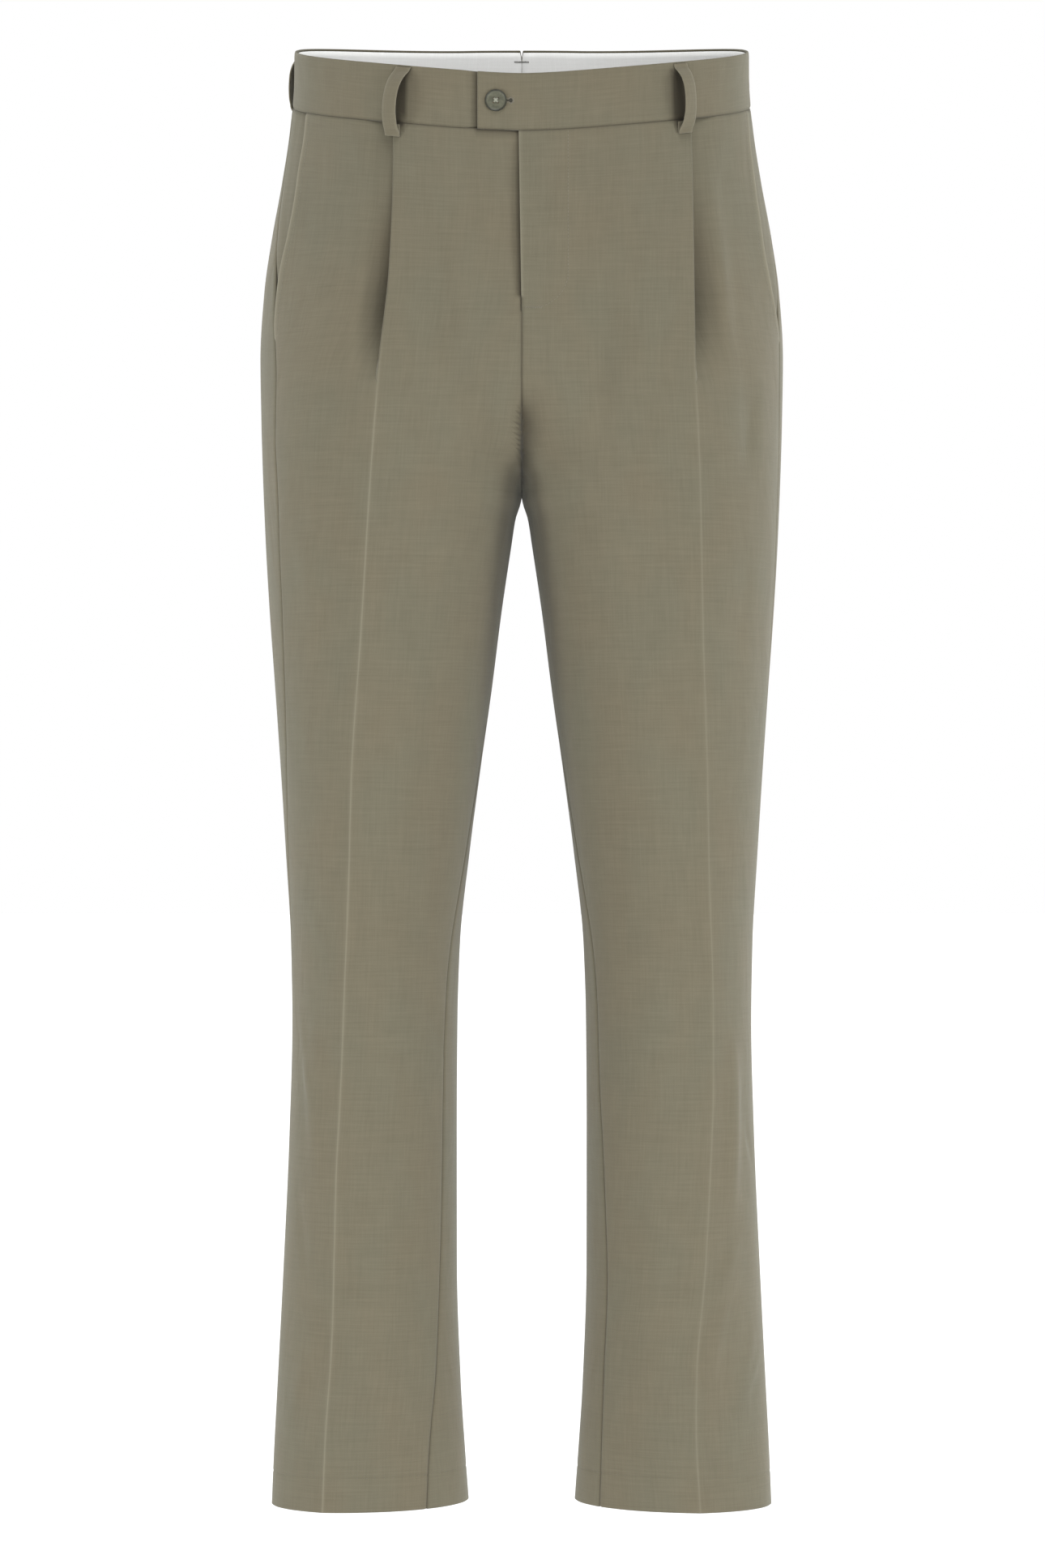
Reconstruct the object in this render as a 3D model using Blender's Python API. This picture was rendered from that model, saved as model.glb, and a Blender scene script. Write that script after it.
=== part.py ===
"""Pleated chinos, filled out as worn, with nobody in them.

X is towards the wearer's left, -Y is the front and +Z is up. Heights in the tables below are
millimetres above a level just under the hems; the model's origin is the middle of the waist
opening, where the wearer holds the trousers up. Each half of the garment is drawn in its own half
coordinates, with x measured outwards from the centre plane, and the wearer's right half is the
mirror of the left one but for the places of its creases, pleat and folds.
"""
import math

import bmesh
import bpy
import numpy as np
from mathutils import Matrix, Vector

MM = 0.001
LEFT, RIGHT = 1, -1                  # the wearer's left is +X

# Driving sizes, millimetres.
WAIST_HEIGHT = 1071.0                # the origin
CLOTH = 1.0                          # wall of a single layer
BAND_WALL = 2.0                      # cloth, interlining and cloth
LOOP_WALL = 1.2
GAP = 0.3                            # between pieces that are sewn together
SEAM_LEVEL = 1029.7                  # waist seam at the centre front
TOP_LEVEL = 1071.2                   # top of the waistband at the centre front
CROTCH_LEVEL, CROTCH_Y = 766.0, 15.0
SIDE_RISE, BACK_RISE = 30.0, 14.4    # how much the waist climbs to the side, then on to the back
LEVEL_UNDER_WAIST = 900.0            # below this the rows lie level, down to the hems
HEM_RISE, HEM_CORNER, HEM_BLEND = 9.5, 3.0, 110.0
HEM_DEPTH = 24.0                     # turned up and sewn down
POCKET_TOP, POCKET_BOTTOM = 1029.7, 880.0
POCKET_WIDE = 42.0                   # mouth's width where its facing climbs out to the seam
POCKET_UNDER = 16.0                  # facing carried on under the front
POCKET_CLOSED = 2.0                  # facing carried on under the back, below the mouth
POCKET_GAPE = 2.2
POCKET_STEP = 2.2                    # facing under the front's face at the mouth
FACING_SHARES = (0.12, 0.4, 0.7, 1.0)
FLY_BOTTOM = 895.0
FLY_JOINED = 905.0                   # the fronts lap above this, and butt below it
FLY_WIDTH = 38.0
FLY_OVERLAP = 2.0                    # left front past the centre line at the waist
FLY_UNDERLAP = 5.0                   # right front carried on under the left
FLY_STEP = 1.6                       # right front under the left one's face
FLY_FACING_START, FLY_ROUND = 12.5, 26.0
CHAIN_START, CHAIN_END, CHAIN_RISE = 6.0, 11.0, 2.0
ZIP_TOP = 1024.0
# Middle of each layer in the fly, under the left front's face.
FACING_OUT, SLIDER_OUT, ZIP_OUT, SHIELD_OUT = -1.3, -1.48, -2.9, -4.2
TAB_LENGTH = 32.0                    # left waistband past the centre front
TAB_STEP = 2.4                       # right waistband under the tab
NOTCH_WIDTH, NOTCH_DEPTH = 2.8, 7.5  # centre back of the waistband
BAND_FACE = 0.9                      # waistband's face, out from the panels' middle
LINING_OUT = -1.9
BAND_LEFT_START = [-TAB_LENGTH, -22.0, -11.0, 0.0, 16.0, 32.0]
BAND_RIGHT_START = [-12.0, 0.0, 11.0, 22.0, TAB_LENGTH + 1.5, 37.0, 40.0, 44.5]
BAND_SHARED, BAND_SPANS = 48.0, 20
LOOP_WIDTH = 10.5
LOOP_UNDER_TOP, LOOP_BELOW_SEAM = 1.2, 10.0
# A loop's path: share of its length from the top, and share of its stand.
LOOP_PATH = ((0.0, 0.0), (0.05, 0.06), (0.12, 0.4), (0.22, 0.76), (0.36, 0.96), (0.52, 1.0),
             (0.68, 0.92), (0.8, 0.72), (0.89, 0.42), (0.95, 0.1), (1.0, 0.0))
BUTTON_RADIUS, BUTTON_HEIGHT, BUTTON_SIDES = 8.7, 3.0, 28
BUTTON_HOLE, BUTTON_HOLE_SPACE = 0.95, 3.2
BUTTON_PLACE, BUTTON_LEVEL = 19.0, 1050.8
PLEAT_TURN_RADIUS = 0.9
PLEAT_BLEND = 30.0                   # cloth outside the pleat climbs back over this length
CREASE_REACH = 28.0

# Half sections by height. "outer" is the widest point, "front" and "back" are the foremost and
# rearmost points of the smooth section, "inner" is the edge at the centre plane or inside leg.
BODY_COLUMNS = ("height", "outer_x", "outer_y", "front_x", "front_y", "back_x", "back_y",
                "inner_x", "roundness", "tuck")
BODY_ROWS = (
    (0, 187.5, -2, 114, -62, 113, 63, 39.5, 0.56, 0.56),
    (50, 185.4, -2, 114, -64, 113, 66, 43.2, 0.56, 0.56),
    (100, 182.8, -2, 113, -67, 112, 70, 46.4, 0.56, 0.56),
    (190, 178.2, -2, 112, -72, 111, 76, 49.3, 0.57, 0.57),
    (290, 173.8, -2, 111, -76, 110, 81, 49.4, 0.58, 0.58),
    (370, 171.8, -2, 110, -79, 110, 82, 48.9, 0.58, 0.58),
    (430, 172.8, -2, 110, -82, 109, 83, 47.0, 0.58, 0.58),
    (500, 176.8, -2, 108, -86, 108, 86, 39.6, 0.59, 0.59),
    (560, 180.6, -1, 106, -91, 106, 90, 31.7, 0.59, 0.60),
    (620, 184.8, 0, 104, -97, 104, 95, 23.2, 0.60, 0.63),
    (680, 189.2, 2, 102, -104, 102, 103, 15.6, 0.61, 0.68),
    (730, 192.2, 4, 101, -110, 101, 111, 8.2, 0.62, 0.74),
    (750, 193.1, 4.5, 100.4, -113, 100.4, 115.4, 5.1, 0.62, 0.77),
    (766, 193.8, 5, 100, -115, 100, 119, 0.65, 0.62, 0.80),
    (800, 195.0, 6, 98, -119, 96, 127, 0.15, 0.62, 0.80),
    (826, 195.7, 6, 95, -121, 93, 132, 0.15, 0.60, 0.78),
    (870, 196.4, 6, 86, -123, 86, 137, 0.15, 0.58, 0.70),
    (920, 193.4, 5, 74, -122, 78, 136, 0.15, 0.57, 0.60),
    (960, 187.7, 4, 64, -119, 72, 131, 0.15, 0.56, 0.58),
    (1000, 180.4, 3, 54, -114, 64, 123, 0.15, 0.56, 0.58),
    (1040, 174.2, 2, 45, -109, 55, 114, 0.15, 0.56, 0.58),
    (1080, 170.6, 1, 40, -107, 48, 110, 0.15, 0.56, 0.58),
    (1120, 170.2, 0, 38, -106, 46, 109, 0.15, 0.56, 0.58),
)

# The curve of the rise at the centre plane, down from the front waist, through the crotch and up
# the seat.
RISE_COLUMNS = ("height", "front_edge_y", "back_edge_y")
RISE_ROWS = (
    (766, 15, 15),
    (770, -22, 48),
    (778, -51, 74),
    (790, -78, 95),
    (804, -98, 110),
    (815, -107, 117),
    (828, -113.5, 123),
    (850, -118, 128.5),
    (880, -120.5, 130.5),
    (920, -120.5, 129),
    (960, -118, 124.5),
    (1000, -113.5, 118.5),
    (1040, -108.5, 112),
    (1080, -106.5, 108.5),
    (1120, -105.5, 107.5),
)

# Lines that run down the legs, as distances from the centre plane, and how far the front crease
# stands proud. A pleat is folded on the upper end of each front crease.
LINE_COLUMNS = ("height", "crease_right", "crease_left", "crease_back", "crease_height",
                "seam_right", "seam_left")
LINE_ROWS = (
    (0, 146.0, 131.5, 117, 5.0, 62, 46),
    (60, 143.5, 128.5, 117, 5.0, 56, 45),
    (110, 140.5, 128.5, 116, 5.2, 50, 46),
    (190, 137.0, 134.0, 115, 5.4, 45, 50),
    (260, 135.0, 137.0, 114, 5.4, 44, 48),
    (330, 131.5, 139.0, 114, 5.2, 44, 43),
    (400, 129.0, 138.5, 113, 5.0, 42, 41),
    (470, 126.5, 136.5, 112, 4.8, 30, 30),
    (560, 124.0, 134.8, 111, 4.6, 15, 15),
    (660, 117.5, 132.0, 110, 4.0, 5, 5),
    (766, 111.0, 130.0, 108, 3.0, 0, 0),
    (820, 107.0, 128.0, 106, 2.2, 0, 0),
    (860, 103.4, 126.0, 104, 1.4, 0, 0),
    (930, 95.8, 125.3, 100, 0.8, 0, 0),
    (990, 93.6, 124.8, 100, 0.3, 0, 0),
    (1120, 93.3, 120.5, 100, 0.0, 0, 0),
)

# The pleat's intake and how far its cloth turns back, by height.
# Side seams ahead of the widest point, and how far each pocket mouth opens ahead of its seam.
SIDE_COLUMNS = ("height", "seam_right", "seam_left", "mouth_right", "mouth_left")
SIDE_ROWS = (
    (0, -10, -10, 0, 0),
    (300, -4, -8, 0, 0),
    (400, 8, -2, 0, 0),
    (500, 26, 6, 0, 0),
    (610, 47, 15, 0, 0),
    (710, 63, 28, 0, 0),
    (783, 70, 36, 0, 0),
    (849, 70, 38, 0, 0),
    (880, 65, 36, 0, 0),
    (892, 61, 33.5, 2.5, 8),
    (907, 57, 29, 7, 20),
    (921, 53, 25, 12, 30),
    (938, 44, 19.5, 22, 38),
    (950, 38, 15, 29, 41),
    (970, 28, 8, 37, 43),
    (1000, 17, 0, 40, 40),
    (1030, 14, -6, 36, 31),
)
PLEAT_COLUMNS = ("height", "intake", "turn")
PLEAT_ROWS = (
    (838, 0.4, 8),
    (850, 1.5, 45),
    (865, 2.6, 85),
    (885, 4.5, 125),
    (905, 7.0, 150),
    (930, 10.0, 168),
    (960, 13.5, 177),
    (995, 16.0, 180),
    (1120, 17.5, 180),
)
PLEAT_END = 845.0

# The largest folds. Each runs from its top to its foot at a distance outside (+) or inside (-) the
# front crease, or the back crease where the face is "back".
FOLD_COLUMNS = ("side", "face", "top", "foot", "top_offset", "foot_offset", "spread", "lift")
FOLDS = (
    (RIGHT, "front", 1000, 850, -18, -52, 11, -2.6),
    (RIGHT, "front", 880, 770, -78, -70, 14, 2.4),
    (RIGHT, "front", 380, 250, 28, 18, 9, 1.6),
    (RIGHT, "front", 200, 60, -16, 24, 12, -1.4),
    (LEFT, "front", 1010, 850, 12, 32, 9, 2.6),
    (LEFT, "front", 935, 790, -64, -72, 13, -2.4),
    (LEFT, "front", 860, 770, 50, 44, 10, -1.8),
    (LEFT, "front", 370, 220, 20, 22, 9, 1.8),
    (LEFT, "front", 210, 90, 28, 8, 9, 1.6),
    (RIGHT, "back", 790, 640, 40, 4, 15, -2.8),
    (LEFT, "back", 780, 640, 36, 8, 15, -2.8),
    (RIGHT, "back", 500, 380, 34, -20, 13, -2.6),
    (LEFT, "back", 490, 370, 30, -24, 13, -2.6),
    (RIGHT, "back", 400, 260, -28, 26, 14, -2.0),
    (LEFT, "back", 390, 250, -30, 22, 14, -2.0),
)

# Rows of every panel, from the waist seam down. The pleat and the fly need the closest ones.
PANEL_LEVELS = (1029.55, 1008, 988, 965, 942, 925, 914, 905, 894, 880, 865, 850, 838, 826, 815, 804,
                795, 786, 778, 771, 766, 750, 728, 700, 662, 620, 575, 530, 485, 440, 400, 360, 315,
                265, 215, 165, 115, 70, HEM_DEPTH + 1, HEM_DEPTH, 0)
INNER_SHARES = (1.0, 0.82, 0.65, 0.5, 0.36, 0.22, 0.08)
SETTLING = 64.0                      # height over which the columns cut off by the rise spread out
OUTER_SHARES = (0.09, 0.2, 0.32, 0.46, 0.62, 0.8, 1.0)
BACK_SHARES = (0.0, 0.08, 0.17, 0.27, 0.36, 0.45, 0.54, 0.62, 0.71, 0.8, 0.9, 1.0)
RING_SAMPLES = 241
HEADING_STEP = 0.4
FRONT_SHARE = 0.42                   # of the girth to the side, where the section is foremost

# Belt loops, each at an offset from a line of its half. "stand" is its middle off the waistband,
# and "tilt" how much further its edge nearer the centre front stands off.
LOOP_COLUMNS = ("name", "side", "line", "top_offset", "foot_offset", "stand", "tilt")
LOOPS = (
    ("belt_loop_front_right", RIGHT, "crease", -7.4, 0.7, 8.4, 2.5),
    ("belt_loop_front_left", LEFT, "crease", -7.4, -5.6, 9.4, 2.5),
    ("belt_loop_side_right", RIGHT, "widest", 34.0, 34.0, 8.6, 0.0),
    ("belt_loop_side_left", LEFT, "widest", 45.0, 45.0, 9.2, 0.0),
    ("belt_loop_back", LEFT, "length", 0.0, 0.0, 8.4, 0.0),
)

COLOURS = {
    "chino_cloth": ((0.205, 0.178, 0.122), 0.9),
    "waist_lining": ((0.72, 0.71, 0.68), 0.85),
    "button": ((0.085, 0.085, 0.055), 0.35),
    "zip": ((0.16, 0.14, 0.1), 0.6),
}


def fresh_scene():
    """Take every object out of the file."""
    for thing in list(bpy.data.objects):
        bpy.data.objects.remove(thing, do_unlink=True)


def material(name):
    """One Principled material for each finish."""
    made = bpy.data.materials.get(name)
    if made is None:
        made = bpy.data.materials.new(name)
        made.use_nodes = True
        colour, roughness = COLOURS[name]
        shader = made.node_tree.nodes["Principled BSDF"]
        shader.inputs["Base Color"].default_value = (*colour, 1.0)
        shader.inputs["Roughness"].default_value = roughness
        shader.inputs["Metallic"].default_value = 0.0
    return made


def smooth_step(value):
    """0 below 0, 1 above 1, and a soft climb between."""
    t = np.clip(value, 0.0, 1.0)
    return t * t * (3.0 - 2.0 * t)


def column_curve(columns, rows, name):
    """A table column as a curve that passes each row's value and never overshoots."""
    x = np.array([row[0] for row in rows], float)
    y = np.array([row[columns.index(name)] for row in rows], float)
    step = np.diff(x)
    slope = np.diff(y) / step
    tangent = np.zeros(len(x))
    tangent[0], tangent[-1] = slope[0], slope[-1]
    for i in range(1, len(x) - 1):
        if slope[i - 1] * slope[i] > 0:
            before, after = 2 * step[i] + step[i - 1], step[i] + 2 * step[i - 1]
            tangent[i] = (before + after) / (before / slope[i - 1] + after / slope[i])

    def curve(at):
        at = np.clip(np.asarray(at, float), x[0], x[-1])
        i = np.clip(np.searchsorted(x, at) - 1, 0, len(step) - 1)
        t = (at - x[i]) / step[i]
        return ((1 + 2 * t) * (1 - t) ** 2 * y[i] + t * (1 - t) ** 2 * step[i] * tangent[i]
                + t * t * (3 - 2 * t) * y[i + 1] + t * t * (t - 1) * step[i] * tangent[i + 1])

    return curve


def named_rows(columns, rows):
    """A table's rows, each with its values by column name."""
    return [dict(zip(columns, row)) for row in rows]


def table_curves(columns, rows):
    """Every column of a table, by name."""
    return {name: column_curve(columns, rows, name) for name in columns[1:]}


BODY = table_curves(BODY_COLUMNS, BODY_ROWS)
RISE = table_curves(RISE_COLUMNS, RISE_ROWS)
LINES = table_curves(LINE_COLUMNS, LINE_ROWS)
SIDES = table_curves(SIDE_COLUMNS, SIDE_ROWS)
PLEAT = table_curves(PLEAT_COLUMNS, PLEAT_ROWS)


def bezier(p0, p1, p2, p3, t):
    """Point and direction of a cubic curve."""
    u = 1.0 - t
    point = u ** 3 * p0 + 3 * u * u * t * p1 + 3 * u * t * t * p2 + t ** 3 * p3
    along = u * u * (p1 - p0) + 2 * u * t * (p2 - p1) + t * t * (p3 - p2)
    return point, along


def half_section(girth, height):
    """The smooth skin in half coordinates: girth 0 is the front edge at the centre plane, 1 the
    widest point and 2 the back edge. Gives x, y and the outward normal in the level plane."""
    body = {name: curve(height) for name, curve in BODY.items()}
    rise = {name: curve(height) for name, curve in RISE.items()}
    legs = height < CROTCH_LEVEL
    inner_x, tuck, k = body["inner_x"], body["tuck"], body["roundness"]
    inner_y = CROTCH_Y * smooth_step((height - 560.0) / (CROTCH_LEVEL - 560.0))
    belly = smooth_step((height - 826.0) / 60.0)

    def edge_quarter(edge_y, peak_x, peak_y, t):
        """From the edge at the centre plane to the foremost or rearmost point. Above the crotch the
        curve of the thigh is cut at the rise, and its end is drawn to the centre plane."""
        span_x, span_y = peak_x - inner_x, peak_y - inner_y
        x_of = (inner_x, inner_x, peak_x - tuck * span_x, peak_x)
        y_of = (inner_y, inner_y + tuck * span_y, peak_y, peak_y)
        low, high = np.zeros_like(height), np.ones_like(height)
        for _ in range(24):
            middle = (low + high) / 2
            short = (bezier(*y_of, middle)[0] - edge_y) * np.sign(span_y) < 0
            low, high = np.where(short, middle, low), np.where(short, high, middle)
        cut = np.where(legs, 0.0, low)

        def rest(p):
            """Handles of the curve beyond the cut."""
            second, third = p[1] + (p[2] - p[1]) * cut, p[2] + (p[3] - p[2]) * cut
            return second + (third - second) * cut, third

        x1, x2 = rest(x_of)
        y1, y2 = rest(y_of)
        y1 = y1 + (edge_y - y1) * np.where(legs, 0.0, belly)
        lean = np.abs(y1 - edge_y) / np.hypot(y1 - edge_y, x1)
        edge_x = np.where(legs, inner_x, (GAP + CLOTH * lean) / 2)
        edge_y = np.where(legs, inner_y, edge_y)
        x, dx = bezier(edge_x, np.maximum(x1, edge_x), x2, peak_x, t)
        y, dy = bezier(edge_y, y1, y2, peak_y, t)
        return x, y, dx, dy

    def side_quarter(peak_x, peak_y, t):
        """From the foremost or rearmost point to the widest one."""
        side_x, side_y = body["outer_x"], body["outer_y"]
        x, dx = bezier(peak_x, peak_x + k * (side_x - peak_x), side_x, side_x, t)
        y, dy = bezier(peak_y, peak_y, side_y + k * (peak_y - side_y), side_y, t)
        return x, y, dx, dy

    back_girth = 2.0 - girth
    part = (girth < FRONT_SHARE, girth < 1.0, back_girth >= FRONT_SHARE)
    quarters = (
        edge_quarter(rise["front_edge_y"], body["front_x"], body["front_y"],
                     np.clip(girth / FRONT_SHARE, 0, 1)),
        side_quarter(body["front_x"], body["front_y"],
                     np.clip((girth - FRONT_SHARE) / (1 - FRONT_SHARE), 0, 1)),
        side_quarter(body["back_x"], body["back_y"],
                     np.clip((back_girth - FRONT_SHARE) / (1 - FRONT_SHARE), 0, 1)),
        edge_quarter(rise["back_edge_y"], body["back_x"], body["back_y"],
                     np.clip(back_girth / FRONT_SHARE, 0, 1)),
    )
    x, y, dx, dy = (np.select(part, [q[i] for q in quarters[:3]], quarters[3][i])
                    for i in range(4))
    forward = np.where(girth < 1.0, 1.0, -1.0)
    length = np.hypot(dx, dy) + 1e-9
    return x, y, dy * forward / length, -dx * forward / length


def waist_climb():
    """How much higher the waist is than at the centre front, by girth: a smooth climb by the way
    walked round the waist."""
    girth = np.linspace(0, 2, RING_SAMPLES)
    x, y, _, _ = half_section(girth, np.full(RING_SAMPLES, SEAM_LEVEL + SIDE_RISE))
    walked = np.concatenate(([0.0], np.cumsum(np.hypot(np.diff(x), np.diff(y)))))
    to_side = np.interp(1.0, girth, walked)
    front = SIDE_RISE * np.clip(walked / to_side, 0, 1) ** 1.6
    left = np.clip((walked[-1] - walked) / (walked[-1] - to_side), 0, 1)
    return girth, np.where(girth < 1, front, SIDE_RISE + BACK_RISE * (1 - left ** 3.3))


CLIMB = waist_climb()


def actual_height(level, girth):
    """A row's height: along the waist seam at the top, level down the legs, and at the bottom along
    the hem, which climbs a little towards the inside of the leg."""
    share = smooth_step((level - LEVEL_UNDER_WAIST) / (SEAM_LEVEL - LEVEL_UNDER_WAIST))
    hem = HEM_RISE + HEM_CORNER * ((1 + np.cos(math.pi * girth)) / 2) ** 3
    low = 1 - smooth_step((level - HEM_DEPTH - 1) / HEM_BLEND)
    return level + share * np.interp(girth, *CLIMB) + low * hem


class Ring:
    """One row round one half of the garment. Places on it are arc lengths from its front edge."""

    def __init__(self, side, level):
        self.side, self.level = side, level
        self.closed = level < CROTCH_LEVEL
        girth = np.linspace(0, 2, RING_SAMPLES)
        self.z = actual_height(level, girth)
        self.x, self.y, self.nx, self.ny = half_section(girth, self.z)
        run = np.hypot(np.diff(self.x), np.diff(self.y))
        self.s = np.concatenate(([0.0], np.cumsum(run)))
        self.length = self.s[-1]
        self.widest = float(np.interp(1.0, girth, self.s))
        front = girth <= 1.0
        side_name = "left" if side == LEFT else "right"
        crease_x = LINES["crease_" + side_name](level)
        self.crease = float(np.interp(crease_x, self.x[front], self.s[front]))
        behind = girth >= 1.0
        self.back_crease = float(np.interp(-LINES["crease_back"](level), -self.x[behind],
                                           self.s[behind]))
        ahead = float(LINES["seam_" + side_name](level)) if self.closed else 0.0
        self.inseam = ahead
        self.side_seam = self.widest - float(SIDES["seam_" + side_name](level))
        self.mouth = self.side_seam - float(SIDES["mouth_" + side_name](level))

    def relief(self, s):
        """Creases and folds, proud of the smooth skin."""
        if self.closed:
            s = np.mod(s, self.length)
        height = float(LINES["crease_height"](self.level))
        lift = height * np.exp(-np.abs(s - self.crease) / CREASE_REACH)
        back_height = height * smooth_step((800.0 - self.level) / 120.0)
        lift = lift + back_height * np.exp(-np.abs(s - self.back_crease) / CREASE_REACH)
        for fold in named_rows(FOLD_COLUMNS, FOLDS):
            along = (fold["top"] - self.level) / (fold["top"] - fold["foot"])
            if fold["side"] != self.side or not 0.0 < along < 1.0:
                continue
            crease = self.crease if fold["face"] == "front" else self.back_crease
            outwards = 1.0 if fold["face"] == "front" else -1.0
            offset = fold["top_offset"] + (fold["foot_offset"] - fold["top_offset"]) * along
            fade = math.sin(math.pi * along) ** 0.7
            lift = lift + fold["lift"] * fade * np.exp(
                -((s - crease - outwards * offset) / fold["spread"]) ** 2)
        return lift

    def at(self, s, out=0.0):
        """Points at arc lengths s, moved out along the normal. Half coordinates, as rows. On a row
        that isn't closed, a place past either edge lies on the other half of the garment."""
        s = np.atleast_1d(np.asarray(s, float))
        out = np.broadcast_to(np.asarray(out, float), s.shape)
        if self.closed:
            read, half = np.mod(s, self.length), np.ones_like(s)
        else:
            half = np.where((s < 0) | (s > self.length), -1.0, 1.0)
            read = np.where(s > self.length, 2 * self.length - s, np.abs(s))
        x, y, z, nx, ny = (np.interp(read, self.s, v)
                           for v in (self.x, self.y, self.z, self.nx, self.ny))
        move = (out + self.relief(read)) / np.hypot(nx, ny)
        return np.stack((half * (x + nx * move), y + ny * move, z), axis=1)

    def heading(self, s):
        """Direction of the row at an arc length, for the edge of a piece that ends there."""
        ends = self.at([s - HEADING_STEP, s + HEADING_STEP])
        return (ends[1] - ends[0]) / np.linalg.norm(ends[1] - ends[0])


RINGS = {}


def ring(side, level):
    """Rings are worked out once each."""
    key = (side, round(level, 4))
    if key not in RINGS:
        RINGS[key] = Ring(side, level)
    return RINGS[key]


def pleat_path(level):
    """The pleat as (along, out) steps from its fold edge: the cloth turns under, runs back towards
    the centre front, and turns again to run on outwards beneath."""
    turn = math.radians(float(PLEAT["turn"](level)))
    intake = float(PLEAT["intake"](level))
    if level < PLEAT_END:
        return [(0.0, 0.0)] * 8
    r = PLEAT_TURN_RADIUS
    steps = [(r * math.sin(turn * k / 3), -r * (1 - math.cos(turn * k / 3))) for k in range(4)]
    start = (steps[-1][0] + intake * math.cos(turn), steps[-1][1] - intake * math.sin(turn))
    for k in range(4):
        left = turn * (3 - k) / 3
        swung = (r * (math.sin(turn) - math.sin(left)), -r * (math.cos(left) - math.cos(turn)))
        steps.append((start[0] + swung[0], start[1] + swung[1]))
    return steps


def to_world(side, points):
    """Half coordinates in millimetres to metres about the waist's middle."""
    world = np.array(points, float)
    world[..., 0] *= side
    world[..., 2] -= WAIST_HEIGHT
    return world * MM


def wall(name, side, grid, out_half, in_half, headings=None, finish="chino_cloth", clear=None):
    """A closed wall about a grid of points (rows down, columns outwards, half coordinates).
    Columns that come together in a row are welded there. headings are each row's directions at its
    two ends, and clear keeps the wall that far from the centre plane."""
    grid = np.asarray(grid, float)
    rows, cols = grid.shape[:2]
    normals = np.zeros_like(grid)
    for i in range(rows):
        up = grid[max(i - 1, 0)] - grid[min(i + 1, rows - 1)]
        steps = np.diff(grid[i], axis=0)
        sizes = np.linalg.norm(steps, axis=1)
        for j in range(cols):
            lead = j
            while lead > 0 and sizes[lead - 1] < 1e-6:
                lead -= 1
            tail = j
            while tail < cols - 1 and sizes[tail] < 1e-6:
                tail += 1
            before = steps[lead - 1] / sizes[lead - 1] if lead > 0 else None
            after = steps[tail] / sizes[tail] if tail < cols - 1 else None
            before = after if before is None else before
            after = before if after is None else after
            if headings is not None and (lead == 0 or tail == cols - 1):
                before = after = headings[i][0 if lead == 0 else 1]
            normal = np.cross(before + after, up[lead])
            normal /= np.linalg.norm(normal)
            bend = math.sqrt(max((1 + float(np.dot(before, after))) / 2, 0.6))
            normals[i, j] = normal / bend
    outer = grid + normals * np.asarray(out_half)
    inner = grid - normals * np.asarray(in_half)
    if clear is not None:
        outer[..., 0] = np.maximum(outer[..., 0], clear)
        inner[..., 0] = np.maximum(inner[..., 0], clear)
    mesh = bmesh.new()
    layers = []
    for points in (outer, inner):
        world = to_world(side, points)
        layers.append([[mesh.verts.new(world[i, j]) for j in range(cols)] for i in range(rows)])
    front, rear = layers

    def patch(a, b, c, d):
        """Two triangles, with the same diagonal on both faces of the wall."""
        for corners in ((a, b, c), (a, c, d)):
            if len({tuple(round(v, 9) for v in corner.co) for corner in corners}) == 3:
                mesh.faces.new(corners)

    for i in range(rows - 1):
        for j in range(cols - 1):
            patch(front[i][j], front[i + 1][j], front[i + 1][j + 1], front[i][j + 1])
            patch(rear[i][j], rear[i][j + 1], rear[i + 1][j + 1], rear[i + 1][j])
    for i in range(rows - 1):
        patch(front[i][0], rear[i][0], rear[i + 1][0], front[i + 1][0])
        patch(front[i][-1], front[i + 1][-1], rear[i + 1][-1], rear[i][-1])
    for j in range(cols - 1):
        patch(front[0][j], front[0][j + 1], rear[0][j + 1], rear[0][j])
        patch(front[-1][j], rear[-1][j], rear[-1][j + 1], front[-1][j + 1])
    bmesh.ops.remove_doubles(mesh, verts=mesh.verts, dist=1e-7)
    bmesh.ops.recalc_face_normals(mesh, faces=mesh.faces)
    if mesh.calc_volume(signed=True) < 0:
        bmesh.ops.reverse_faces(mesh, faces=mesh.faces)
    return finished(name, mesh, finish)


def finished(name, mesh, finish):
    """A named object from a bmesh, smooth but for its sharp edges."""
    data = bpy.data.meshes.new(name)
    mesh.to_mesh(data)
    mesh.free()
    data.shade_smooth()
    data.set_sharp_from_angle(angle=math.radians(40))
    data.materials.append(material(finish))
    thing = bpy.data.objects.new(name, data)
    bpy.context.scene.collection.objects.link(thing)
    return thing


def mouth_gape(level):
    """The front's edge stands off its facing along the middle of the mouth."""
    share = (level - POCKET_BOTTOM) / (POCKET_TOP - POCKET_BOTTOM)
    return POCKET_GAPE * math.sin(math.pi * share) if 0 < share < 1 else 0.0


def crotch_gap(row):
    """Front and back butt together along the inside leg, up to the crotch."""
    return GAP / 2 if row.level <= CROTCH_LEVEL else 0.0


def front_edge(side, level):
    """Place and depth of a front's edge at the centre: the left front laps over the right one
    down to the foot of the fly, and below it the two butt together."""
    if level <= FLY_BOTTOM:
        return 0.0, 0.0
    lapped = float(smooth_step((level - FLY_JOINED) / 14.0))
    if side == LEFT:
        return -FLY_OVERLAP * lapped * level / SEAM_LEVEL, 0.0
    return -FLY_UNDERLAP * lapped, -FLY_STEP


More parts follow.
